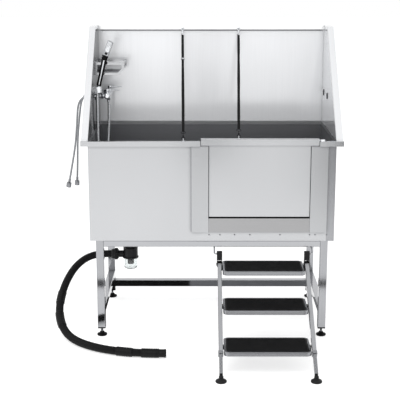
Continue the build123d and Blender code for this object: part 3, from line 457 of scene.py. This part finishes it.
by_slot = {
    "brushed_stainless": panel_steel,
    "grey_steel": zinc,
    "chrome": chrome,
    "black_plastic": nylon,
    "black_rubber": rubber,
    "clear_plastic": clear_cup,
    "braided_steel": braid,
    "black_webbing": webbing,
}
by_node = {
    "legs_front": leg_steel, "legs_back": leg_steel, "top_rails": rail_steel,
    "bottom_rails": rail_steel, "splash_back": splash_steel, "splash_left": left_steel,
    "splash_right": right_steel, "basin_back_wall": basin_steel,
    "basin_side_walls": basin_steel, "floor_pan": basin_steel, "drain_hose_cuff": hose_pvc,
    "door_frame": guide_steel, "step_tray_top": tray_steel, "step_tray_middle": tray_steel,
    "step_tray_bottom": tray_steel, "step_stringers": rail_steel,
}


def finish_with(piece, material):
    """Give a piece one material."""
    piece.data.materials.clear()
    piece.data.materials.append(material)


for label, slot in slot_of.items():
    finish_with(nodes[label], by_node.get(label, by_slot[slot]))


def stands_for(piece, node, material, body="tub"):
    """A piece that is shown in place of a CAD node, with its finish and, unless it bends between
    two bodies, its body."""
    finish_with(piece, material)
    if body:
        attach(piece, body)
    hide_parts(node)
    return piece


def detail_of(piece, material, body="tub"):
    """A small piece that is added beside a CAD node."""
    finish_with(piece, material)
    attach(piece, body)
    return piece


# ---------------------------------------------------------------- hoses
def smooth_route(name, control, rows):
    """Evenly spaced points on the order-3 spline through a route's control points."""
    data = bpy.data.curves.new(name, "CURVE")
    data.dimensions = "3D"
    data.resolution_u = 40
    line = data.splines.new("NURBS")
    line.points.add(len(control) - 1)
    for point, (x, y, z) in zip(line.points, control):
        point.co = (x * MM, y * MM, z * MM, 1.0)
    line.order_u = 3
    line.use_endpoint_u = True
    guide = bpy.data.objects.new(name, data)
    bpy.context.scene.collection.objects.link(guide)
    mesh = bpy.data.meshes.new_from_object(guide)
    raw = points_of(mesh)
    bpy.data.objects.remove(guide)
    bpy.data.meshes.remove(mesh)
    gone = np.r_[0, np.cumsum(np.linalg.norm(np.diff(raw, axis=0), axis=1))]
    even = np.linspace(0, gone[-1], rows)
    return np.stack([np.interp(even, gone, raw[:, k]) for k in range(3)], 1), float(gone[-1])


def bulge(gone, centre, half, edge=0.004):
    """One inside a stretch of a hose, falling smoothly to nothing over its edges."""
    t = np.clip((half + edge - np.abs(gone - centre)) / edge, 0, 1)
    return t * t * (3 - 2 * t)


def nearest(path, place):
    """The distance along a path at its point nearest a place given in mm."""
    gone = np.r_[0, np.cumsum(np.linalg.norm(np.diff(path, axis=0), axis=1))]
    return gone[np.argmin(np.linalg.norm(path - np.array(place) * MM, axis=1))]


drain_control = [
    (-527, 282, 343), (-592, 282, 343), (-658, 277, 324), (-714, 254, 282), (-751, 214, 229),
    (-772, 160, 178), (-780, 96, 132), (-774, 28, 89), (-750, -40, 51), (-704, -110, 25),
    (-626, -198, 23), (-514, -267, 23), (-396, -300, 23), (-320, -309, 23), (-262, -311, 23),
]
drain_path, drain_length = smooth_route("drain_guide", drain_control, 1900)
gone = np.linspace(0, drain_length, len(drain_path))
# Ribs 6 mm apart and 2 mm high, and four nearly plain sleeves that stand out where lengths are
# joined.
drain_radius = 0.0190 + 0.0010 * np.cos(TURN * gone / 0.006)
sleeves = np.zeros_like(gone)
for place, half in (((-777, 125, 153), 0.034), ((-768, 5, 76), 0.044), ((-421, -293, 23), 0.038),
                    ((-300, -310, 23), 0.036)):
    sleeves = np.maximum(sleeves, bulge(gone, nearest(drain_path, place), half))
sleeve_radius = 0.0222 + 0.0003 * np.cos(TURN * gone / 0.012)
drain_radius = drain_radius * (1 - sleeves) + sleeves * sleeve_radius
drain_hose = loft("drain_hose_skin", drain_path, drain_radius[:, None, None] * ring(22))
stands_for(drain_hose, "drain_hose", hose_pvc)

end, before = np.array(drain_control[-1], float), np.array(drain_control[-2], float)
drain_cuff = turned("drain_hose_end_cuff",
                    [(0, 20), (1, 22.4), (7, 22.4), (9, 19.6), (33, 19.6), (35, 20.6), (41, 20.6),
                     (42, 20), (42, 17.6), (4, 17.2)], end, end - before)
stands_for(drain_cuff, "drain_hose_cuff", hose_pvc)

shower_control = [
    (-540, 460, 1125), (-540, 460, 1050), (-545, 459, 950), (-552, 457, 840), (-558, 456, 740),
    (-562, 455, 670), (-565, 454, 612), (-567, 453, 559), (-570, 437, 530), (-572, 409, 514),
    (-575, 376, 514), (-577, 348, 530), (-580, 332, 559), (-582, 331, 612), (-583, 330, 680),
    (-585, 331, 780), (-587, 332, 890), (-588, 331, 1000), (-587.3, 332, 1100),
    (-587.3, 332, 1182.3),
]
shower_path, shower_length = smooth_route("shower_guide", shower_control, 2400)
gone = np.linspace(0, shower_length, len(shower_path))
# A wound metal sleeve: rounded turns 3.2 mm apart.
shower_radius = 0.0063 + 0.0007 * np.abs(np.sin(math.pi * gone / 0.0032)) ** 0.7
shower_hose = loft("shower_hose_skin", shower_path, shower_radius[:, None, None] * ring(16))
stands_for(shower_hose, "shower_hose", chrome, None)
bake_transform(shower_hose)


def hexagon(radius, angle):
    """A hexagon's radius at each angle for a given half-width across its flats."""
    return radius / np.cos((angle + math.pi / 6) % (math.pi / 3) - math.pi / 6)


def nut(name, start, direction, flats, length, collar, bore):
    """A hexagon nut whose corners are turned down to a circle at both faces, with a round collar
    before it and a bore after it. Each row gives its distance, its radius or half-width, and how
    many times that its corners may reach, or 0 where it is round."""
    half, end = flats / 2, collar + length
    rows = np.array([(0, half + 1.0, 0), (0.8, half + 1.6, 0), (collar, half + 1.6, 0),
                     (collar, half, 1.0), (collar + 1.2, half, 1.155), (end - 1.2, half, 1.155),
                     (end, half, 1.0), (end, bore, 0), (end - 10, bore, 0)], float)
    size, reach = rows[:, 1:2], rows[:, 2:]
    angle = np.linspace(0, TURN, 72, endpoint=False)[None, :]
    radius = np.minimum(hexagon(size, angle), np.where(reach > 0, size * reach + 0.35, size))
    return swept(name, rows[:, :2], lambda r, a: radius, start, direction)


supply_routes = {
    "hot": [(-622, 385, 1165), (-643, 385, 1165), (-663, 385, 1158), (-679, 386, 1144),
            (-690, 387, 1125), (-696, 388, 1100), (-700, 391, 1060), (-705, 394, 1000),
            (-713, 399, 920), (-726, 404, 845), (-741, 408, 770), (-755, 411, 700)],
    "cold": [(-622, 535, 1165), (-643, 535, 1165), (-663, 535, 1158), (-680, 534, 1143),
             (-691, 532, 1122), (-698, 530, 1094), (-703, 527, 1055), (-710, 522, 990),
             (-717, 517, 915), (-719, 513, 840), (-721, 510, 760), (-725, 508, 690)],
}
for side, control in supply_routes.items():
    path, length = smooth_route(f"supply_guide_{side}", control, 400)
    supply = loft(f"supply_hose_{side}_sleeve", path, np.full((400, 1, 1), 0.0053) * ring(16))
    stands_for(supply, f"supply_hose_{side}", braid)
    start, before, end = (np.array(control[k], float) for k in (0, -2, -1))
    run = end - before
    tail = nut(f"supply_nut_{side}", end, run, 23, 18, collar=8, bore=9.3)
    crimp = turned(f"supply_crimp_{side}",
                   [(0, 5.3), (0, 6.5), (2, 6.9), (16, 6.9), (18, 6.2), (18, 5.3)],
                   end - run / np.linalg.norm(run) * 18, run)
    ferrule = turned(f"supply_ferrule_{side}",
                     [(0, 5.3), (0, 6.9), (16, 6.9), (18, 6.2), (18, 5.3)], start, (-1, 0, 0))
    detail_of(ferrule, chrome)
    detail_of(crimp, zinc)
    stands_for(tail, "supply_hose_nuts", zinc)


# ---------------------------------------------------------------- tether straps
def webbing_strap(name, low, high, twist):
    """Flat webbing 15 mm wide and 1.8 mm thick: a rounded oblong carried up a straight line, and
    turned about it by a smooth curve through the given (share of length, degrees)."""
    low, high = np.array(low, float) * MM, np.array(high, float) * MM
    share = np.linspace(0, 1, 260)
    path = low + share[:, None] * (high - low)
    at, turn = np.array(twist, float).T
    angle = np.radians(np.interp(share, at, turn))
    ease = np.ones(25) / 25
    angle = np.convolve(np.pad(angle, 12, mode="edge"), ease, mode="valid")
    flat = ring(20, 6.0) * (0.0074, 0.0009)
    c, s = np.cos(angle)[:, None], np.sin(angle)[:, None]
    return loft(name, path, np.stack([c * flat[:, 0] - s * flat[:, 1],
                                      s * flat[:, 0] + c * flat[:, 1]], 2)), path


strap_ends = {}
for side, low_x, high_x, low_z in (("left", -139, -152, 1014), ("right", 128, 145, 1026)):
    low, high = np.array((low_x, -36.0, low_z)), np.array((high_x, 580.5, 1495.0))
    strap_ends[side] = (low, high, (high - low) / np.linalg.norm(high - low))

strap_twist = {
    "left": [(0, 40), (0.14, 18), (0.3, 0), (0.45, 8), (0.6, 28), (0.72, 38), (0.8, 20), (1, 34)],
    "right": [(0, 30), (0.2, 8), (0.36, 34), (0.48, 10), (0.6, 20), (0.74, 38), (0.88, 14),
              (1, 36)],
}
for side, (low, high, up) in strap_ends.items():
    strap, path = webbing_strap(f"tether_webbing_{side}", low + up * HOOK_RUN,
                                high - up * HOOK_RUN, strap_twist[side])
    stands_for(strap, f"tether_strap_{side}", webbing, "tub" if side == "left" else None)
    if side == "right":
        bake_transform(strap)


def snap_hook(name, tip, up):
    """A swivel snap: an oval ring round the anchor, a turned swivel, and a flat loop of wire that
    takes the webbing."""
    tip, up = np.array(tip, float) * MM, np.array(up, float)
    side = np.array([1.0, 0.0, 0.0])
    side = side - up * np.dot(side, up)
    side /= np.linalg.norm(side)
    turn = np.linspace(0, TURN, 49)
    oval = tip + 0.0079 * np.cos(turn)[:, None] * side + 0.0083 * np.sin(turn)[:, None] * up
    hook = loft(name + "_ring", oval, np.full((49, 1, 1), 0.0018) * ring(12), capped=False)
    barrel = turned(name + "_swivel", [(7.4, 1.5), (8, 3.2), (12, 3.4), (13, 2.4), (15, 2.4),
                                       (15.6, 4.0), (19, 4.2), (21, 3.2), (29, 2.4), (32, 2.8),
                                       (33, 1.0)], tip / MM, up, 24)
    corner = np.array([(-10.4, 33.4), (10.4, 33.4), (10.4, 43.6), (-10.4, 43.6)])
    run = (np.roll(corner, -1, 0) - corner)[:, None] * np.linspace(0.12, 0.88, 6)[:, None]
    flat = (corner[:, None] + run).reshape(-1, 2) * MM
    loop = tip + flat[:, :1] * side + flat[:, 1:] * up
    loop = np.vstack([loop, loop[:1]])
    eye = loft(name + "_eye", loop, np.full((len(loop), 1, 1), 0.0014) * ring(10), capped=False)
    return joined(name, [hook, barrel, eye])


def eyelet(name, x, y, z):
    """A round anchor plate on the rim with a wire ring standing on it."""
    plate = turned(name + "_plate", [(0, 7.5), (1.4, 7.5), (2, 6.8), (2, 0.5)], (x, y, z),
                   (0, 0, 1))
    turn = np.linspace(0, TURN, 41)
    wire = np.array((x, y, z + 8.0)) * MM + np.stack(
        [0 * turn, 0.006 * np.cos(turn), 0.006 * np.sin(turn)], 1)
    stand = loft(name + "_wire", wire, np.full((41, 1, 1), 0.0017) * ring(12), capped=False)
    return joined(name, [plate, stand])


top_anchor = [turned(f"hem_stud_{side}", [(0, 6), (3.5, 6), (5, 5.4), (6, 3.6), (6, 0.5)],
                     (high[0], 592.5, high[2] + 4), (0, -1, 0), 28)
              for side, (low, high, up) in strap_ends.items()]
low, high, up = strap_ends["left"]
fixed = joined("tether_hooks_top", top_anchor + [
    snap_hook("hook_top_left", high, -up), eyelet("eyelet_left", low[0], low[1] - 2, 1000),
    snap_hook("hook_top_right", strap_ends["right"][1], -strap_ends["right"][2])])
stands_for(fixed, "tether_fittings", chrome)
stands_for(snap_hook("tether_hook_low_left", low, up), "tether_fittings", black_chrome)
low, high, up = strap_ends["right"]
stands_for(snap_hook("tether_hook_low_right", low, up), "tether_door_hook", black_chrome, "door")
stands_for(eyelet("tether_eyelet_right", low[0], low[1] - 2, 1012), "tether_door_hook", chrome,
           "door")


def slider(name, side, share):
    """A flat slide buckle: a squared ring of wire round the webbing, square to its run."""
    low, high, up = strap_ends[side]
    centre = (low + up * HOOK_RUN) + (high - low - up * 2 * HOOK_RUN) * share
    across = np.array([1.0, 0, 0]) - up * up[0]
    across /= np.linalg.norm(across)
    out = np.cross(up, across)
    shape = ring(36, 5.0) * (8.6, 3.2)
    shape = np.vstack([shape, shape[:1]])
    path = (centre + shape[:, :1] * across + shape[:, 1:] * out) * MM
    wires = [loft(f"{name}_wire_{shift}", path + up * shift * MM,
                  np.full((37, 1, 1), 0.0011) * ring(8), capped=False) for shift in (-3, 3)]
    bar = turned(name + "_bar", [(-8, 1.1), (8, 1.1)], centre - out * 2.6, across, 10)
    return joined(name, wires + [bar])


detail_of(slider("tether_slider_left", "left", 0.735), chrome)


# ---------------------------------------------------------------- step mats
def ribbed_mat(name, x, y, z, width, depth, corner, thick):
    """A rounded oblong mat: ribs run left to right every 6 mm and 0.7 mm high, and sink into a
    plain border 8 mm wide, whose outer edge is rounded down to the tray."""
    s = np.linspace(-1, 1, 81)
    rows = np.unique(np.concatenate([np.linspace(-1, 1, 321), [-0.999, 0.999]]))
    half_w, half_d = width / 2, depth / 2
    v = rows * half_d
    past = np.clip(np.abs(v) - (half_d - corner), 0, corner)
    reach = half_w - corner + np.sqrt(np.maximum(corner ** 2 - past ** 2, 0.02))
    u = s[None, :] * reach[:, None]
    edge = np.minimum(half_d - np.abs(v)[:, None], reach[:, None] - np.abs(u))
    rib = 0.35 * np.cos(TURN * v[:, None] / 6.0)
    inside = np.clip((edge - 7.0) / 2.0, 0, 1)
    height = thick - 0.4 + rib * inside - 1.2 * np.clip(1 - edge / 1.6, 0, 1) ** 2
    top = np.stack([x + u, np.broadcast_to(y + v[:, None], u.shape), z + height], 2)
    rows_n, columns = u.shape
    base = top.copy()
    base[..., 2] = z
    points = np.concatenate([top.reshape(-1, 3), base.reshape(-1, 3)]) * MM
    i, j = np.meshgrid(np.arange(rows_n - 1), np.arange(columns - 1), indexing="ij")
    i, j = i.ravel(), j.ravel()
    first = np.stack([i * columns + j, i * columns + j + 1, (i + 1) * columns + j + 1,
                      (i + 1) * columns + j], 1)
    under = first[:, ::-1] + rows_n * columns
    rim = ([k for k in range(columns)] + [(r + 1) * columns - 1 for r in range(1, rows_n)]
           + [rows_n * columns - 1 - k for k in range(1, columns)]
           + [r * columns for r in range(rows_n - 2, 0, -1)])
    around = [[rim[k], rim[k] + rows_n * columns, rim[(k + 1) % len(rim)] + rows_n * columns,
               rim[(k + 1) % len(rim)]] for k in range(len(rim))]
    return mesh_piece(name, points, first.tolist() + under.tolist() + around)


for name, y, z in (("top", -74, 385), ("middle", -254, 250), ("bottom", -434, 115)):
    mat = ribbed_mat(f"step_mat_{name}", 252, y, z - 2.0, 380, 170, 14, 3.5)
    stands_for(mat, "step_mats", rubber, "steps")


# ---------------------------------------------------------------- feet
def screw_foot(name, x, y):
    """A levelling foot: a bell pad with a grip ring, and a stem whose radius falls by 0.75 mm
    across each 1.75 mm turn of thread."""
    pad = turned(name + "_pad", [(0, 21), (0.4, 23), (3, 25), (6, 25), (8, 24.4), (9, 21.5),
                                 (11, 17.5), (14, 13.5), (18, 11.2), (21, 9), (22, 7), (22, 5)],
                 (x, y, 0), (0, 0, 1), 56)
    rows = np.linspace(21, 122, 460)
    outline = np.stack([rows, np.full_like(rows, 5.95)], 1)

    def threaded(radius, angle):
        phase = (rows[:, None] / 1.75 - angle / TURN) % 1.0
        return radius - 0.75 * np.abs(2 * phase - 1) * (rows[:, None] > 24)

    stem = swept(name + "_stem", outline, threaded, (x, y, 0), (0, 0, 1), 24)
    return pad, stem


feet = {"front_left": (-LEG_X, FRONT_LEG_Y), "front_right": (LEG_X, FRONT_LEG_Y),
        "back_left": (-LEG_X, BACK_LEG_Y), "back_right": (LEG_X, BACK_LEG_Y)}
for place, (x, y) in feet.items():
    pad, stem = screw_foot(f"foot_{place}", x, y)
    stands_for(pad, f"levelling_foot_{place}", rubber, f"foot_{place}")
    stands_for(stem, f"levelling_foot_{place}", zinc, f"foot_{place}")


# ---------------------------------------------------------------- drain nut
def ribbed(ribs, depth):
    """Radius with rounded grip ribs: it rises by depth at each of the ribs round the piece."""
    return lambda radius, angle: radius - depth * (0.5 - 0.5 * np.cos(ribs * angle)) ** 2


union = swept("drain_union_grip",
              [(0, 17), (0, 24), (1.5, 25.5), (4, 26), (5, 30.6), (7, 31), (17, 31), (19, 30.4),
               (21, 27), (30, 26.4), (33, 25), (38, 23), (39, 22), (39, 15)],
              lambda r, a: np.where(r > 28, ribbed(14, 2.6)(r, a), r), (-488, 282, 343), (-1, 0, 0),
              112)
stands_for(union, "drain_union_nut", nylon)


# ---------------------------------------------------------------- mixer
def mixer_body():
    """A round bar along Y with stepped end caps and two shanks, a bonnet over each shank, and a
    round outlet with a hose nut under the middle."""
    parts = [turned("bar", [(-99, 6), (-99, 11), (-97, 14), (-94, 15), (-84, 15), (-82, 13.4),
                            (-80, 13.4), (-78, 15), (-60, 15), (-52, 13), (-22, 13), (-16, 14.6),
                            (16, 14.6), (22, 13), (52, 13), (60, 15), (78, 15), (80, 13.4),
                            (82, 13.4), (84, 15), (94, 15), (97, 14), (99, 11), (99, 6)],
                    (MIXER_X, MIXER_Y, MIXER_Z), (0, 1, 0), 56)]
    for y in (TAP_HOT_Y, TAP_COLD_Y):
        parts.append(turned("shank", [(-17, 10), (0, 10)], (MIXER_X, y, MIXER_Z), (1, 0, 0), 32))
        parts.append(turned("bonnet", [(0, 12), (15, 12), (17, 11), (19, 11), (21, 12), (23, 11.6),
                                       (24, 10.5), (24, 4), (33, 4), (33, 1)],
                            (MIXER_X, y, MIXER_Z), (0, 0, 1), 40))
    parts.append(turned("outlet", [(0, 10), (12, 9), (16, 10.6), (22, 11), (29, 9.4), (31, 9.4),
                                   (31.5, 8.2), (40, 8.2), (40, 6.6)],
                        (MIXER_X, MIXER_Y, MIXER_Z), (0, 0, -1), 40))
    return joined("mixer_body", parts)


stands_for(mixer_body(), "faucet_body", chrome)


def lever(name, y):
    """A tap lever: a domed hub and a blade that narrows, thins and rises slightly to its tip."""
    share = np.linspace(0, 1, 40)
    path = np.stack([MIXER_X * MM + 0.0655 * share, np.full(40, y * MM),
                     1.1945 + 0.001 * share], 1)
    half_w = 0.0068 - 0.0012 * share
    half_t = 0.0034 - 0.0012 * share
    round_tip = np.sqrt(np.clip(1 - np.clip((share - 0.9) / 0.1, 0, 1) ** 2, 0.02, 1))
    sections = ring(28, 3.0)[None] * np.stack([half_w * round_tip, half_t * round_tip], 1)[:, None]
    blade = loft(name + "_blade", path, sections)
    hub = turned(name + "_hub", [(0.3, 9), (0.6, 10.6), (2, 11), (8, 11), (11, 10), (12.6, 7.5),
                                 (13.2, 3), (13.3, 0.3)], (MIXER_X, y, 1189), (0, 0, 1), 40)
    return joined(name, [blade, hub])


stands_for(lever("tap_lever_hot", TAP_HOT_Y), "faucet_lever_hot", chrome, "lever_hot")
stands_for(lever("tap_lever_cold", TAP_COLD_Y), "faucet_lever_cold", chrome, "lever_cold")

# ---------------------------------------------------------------- hand spray
seat = np.array((-578.0, 332.0, 1224.0))
lean = math.radians(13.4)
spray_up = np.array((math.sin(lean), 0, math.cos(lean)))
head_lean = math.radians(21.7)
head_up = np.array((math.sin(head_lean), 0, math.cos(head_lean)))
head_foot = seat + spray_up * 150

share = np.linspace(0, 1, 60)
grip_path = (seat + share[:, None] * spray_up * 150) * MM
swell = 0.0120 + 0.0030 * share ** 2
grip = loft("spray_grip", grip_path,
            ring(40, 2.4)[None] * np.stack([swell * 0.9, swell * 0.97], 1)[:, None])
stands_for(grip, "spray_handle", rubber, "spray")
plate_path = grip_path[3:54] + np.array((0, -0.0005, 0))
inlay = loft("spray_grip_inlay", plate_path,
             ring(28, 4.0)[None] * np.stack([np.full(51, 0.0128) + 0.0030 * share[3:54] ** 2,
                                             np.full(51, 0.0048)], 1)[:, None])
stands_for(inlay, "spray_handle", chrome, "spray")
spigot = turned("spray_spigot", [(-40, 6.5), (-40, 9.4), (-24, 9.4), (-22, 8.2), (-6, 8.2),
                                 (-4, 9.4), (0, 9.5), (4, 9.5)], seat, spray_up, 32)
stands_for(spigot, "spray_handle", chrome, "spray")

neck = turned("spray_neck_ring", [(0.6, 12), (0.8, 16), (7, 16.3), (8, 15.6), (8, 12)],
              head_foot, head_up, 40)
stands_for(neck, "spray_head", rubber, "spray")
rows = np.linspace(0, 1, 40)
head_path = (head_foot + (8 + rows[:, None] * 79.6) * head_up) * MM
rounding = np.sqrt(np.clip(1 - np.clip((rows - 0.93) / 0.07, 0, 1) ** 2 * 0.75, 0.1, 1))
rounding *= 0.9 + 0.1 * np.sqrt(np.clip(rows / 0.06, 0, 1))
head = loft("spray_head_shell", head_path,
            ring(48, 5.0)[None] * np.stack([0.0122 * rounding, 0.0155 * rounding], 1)[:, None])
stands_for(head, "spray_head", satin_chrome, "spray")

# The spray face on the front of the head: a chrome plate with three rows of rubber nozzles, and a
# mode switch below it.
head_side = np.array((0.0, -1.0, 0.0))
head_across = np.cross(head_up, head_side)


def face_plate(name, centre, half_width, half_length, rise):
    """A rounded oblong plate on the head's front: its outline pushed out by the rise, where it is
    a tenth smaller."""
    out, grow = np.array([(-1.0, 1.0), (rise * 0.7, 1.0), (rise, 0.9)]).T[..., None, None]
    flat = ring(36, 5.0) * (half_width, half_length)
    spread = flat[:, :1] * head_across + flat[:, 1:] * head_up
    points = (centre + out * head_side + grow * spread) * MM
    faces, _, _ = wrapped(3, 36)
    faces = faces.tolist() + [[2 * 36 + k for k in range(36)], list(range(36))[::-1]]
    return mesh_piece(name, points.reshape(-1, 3), faces)


middle = head_foot + head_up * 56 + head_side * 11.8
stands_for(face_plate("spray_face", middle, 11.5, 25, 1.2), "spray_head", chrome, "spray")
jets = [turned("jet", [(0.8, 1.4), (2.2, 1.1), (2.4, 0.3)],
               middle + head_across * u + head_up * v, head_side, 10)
        for u in (-7, 0, 7) for v in (-18, -12, -6, 0, 6, 12, 18)]
stands_for(joined("spray_jets", jets), "spray_head", rubber, "spray")
stands_for(face_plate("spray_switch", head_foot + head_up * 20 + head_side * 11.8, 7, 6, 2.4),
           "spray_head", nylon, "spray")

# ---------------------------------------------------------------- door guides
def guide_lip(name, x0, x1):
    """A strip of rubber lining that shows at a channel's inner edge: a flat bar with round
    edges."""
    path = np.stack([np.full(2, (x0 + x1) / 2), np.full(2, -38.6), np.array([617.5, 975.5])], 1)
    return loft(name, path * MM, np.broadcast_to(ring(16, 4.0) * ((x1 - x0) / 2 * MM, 0.0011),
                                                 (2, 16, 2)))


detail_of(guide_lip("guide_lip_left", -18.2, -14.6), rubber)
detail_of(guide_lip("guide_lip_right", 477.2, 480.4), rubber)


# ---------------------------------------------------------------- screws
def screw_head(x):
    """A low pan head with a shallow recess."""
    return turned("screw", [(0, 3.4), (0.7, 3.3), (1.5, 2.5), (1.95, 1.4), (1.4, 0.9), (1.2, 0.2)],
                  (x, -28, 532), (0, -1, 0), 20)


screws = [screw_head(x) for x in (-14, 40, 112, 188, 336, 482, 509, 566)]
stands_for(joined("panel_screw_heads", screws), "panel_screws", zinc)


# ---------------------------------------------------------------- studio
def card(name, centre, facing, width, height, colour, glow=0.0, seen=True):
    """A flat rectangle of the studio that faces a direction."""
    material, _, _ = new_shader(name, Base_Color=linear(colour), Roughness=0.95,
                                Specular_IOR_Level=0.1, Emission_Color=linear(colour),
                                Emission_Strength=glow)
    centre, facing = np.array(centre, float), np.array(facing, float)
    if abs(facing[2]) > 0.9 * np.linalg.norm(facing):
        a, b = np.array((1.0, 0, 0)), np.array((0, 1.0, 0))
    else:
        a, b = square_to(facing)
    corners = [centre + a * s * width / 2 + b * t * height / 2
               for s, t in ((-1, -1), (1, -1), (1, 1), (-1, 1))]
    mesh = bpy.data.meshes.new(name)
    mesh.from_pydata([tuple(c) for c in corners], [], [(0, 1, 2, 3)])
    piece = bpy.data.objects.new(name, mesh)
    bpy.context.scene.collection.objects.link(piece)
    finish_with(piece, material)
    piece.visible_camera = seen
    piece.visible_diffuse = seen
    piece.visible_shadow = seen
    return piece


card("studio_floor", (0, 0, 0), (0, 0, 1), 60, 60, "#D6D6D6", glow=0.86)
# Cards that only reflections see, so that bright steel has something darker to mirror: one at
# each side in front, a narrow one straight in front, and strips on the floor.
card("flag_right", (1.75, -2.9, 0.45), (-0.15, 1, 0), 1.5, 1.5, "#1C1C1E", seen=False)
card("flag_left", (-2.1, -2.9, 0.3), (0.3, 1, 0), 1.1, 1.4, "#4A4B4E", seen=False)
card("flag_middle", (0.02, -4.6, 0.7), (0, 1, 0), 0.28, 1.5, "#4A4B4E", seen=False)
card("strip_legs", (0, -0.845, 0.012), (0, 0, 1), 2.6, 0.14, "#060607", seen=False)
card("strip_rail_left", (-0.40, 0.30, 0.012), (0, 0, 1), 0.56, 0.50, "#020202", seen=False)
card("strip_rail_right", (0.26, 0.30, 0.012), (0, 0, 1), 0.76, 0.50, "#9C9D9F", seen=False)
world = bpy.data.worlds.new("studio")
bpy.context.scene.world = world
world.use_nodes = True
world.node_tree.nodes["Background"].inputs["Color"].default_value = (1, 1, 1, 1)
world.node_tree.nodes["Background"].inputs["Strength"].default_value = 1.0


def soft_light(name, place, aim, width, height, power):
    """A large soft box that points at a place."""
    data = bpy.data.lights.new(name, "AREA")
    data.shape = "RECTANGLE"
    data.size, data.size_y = width, height
    data.energy = power
    lamp = bpy.data.objects.new(name, data)
    lamp.location = place
    lamp.rotation_euler = (Vector(aim) - Vector(place)).to_track_quat("-Z", "Y").to_euler()
    bpy.context.scene.collection.objects.link(lamp)
    return lamp


soft_light("key", (-2.2, -3.4, 3.8), (0, 0.2, 0.7), 2.4, 2.4, 35)
# A low fill that reaches over the rim to the foot of the back wall, and shows in no reflection.
fill = soft_light("fill", (-0.35, -1.1, 1.3), (-0.1, 0.61, 1.02), 1.3, 0.4, 10)
fill.visible_camera = False
fill.visible_glossy = False
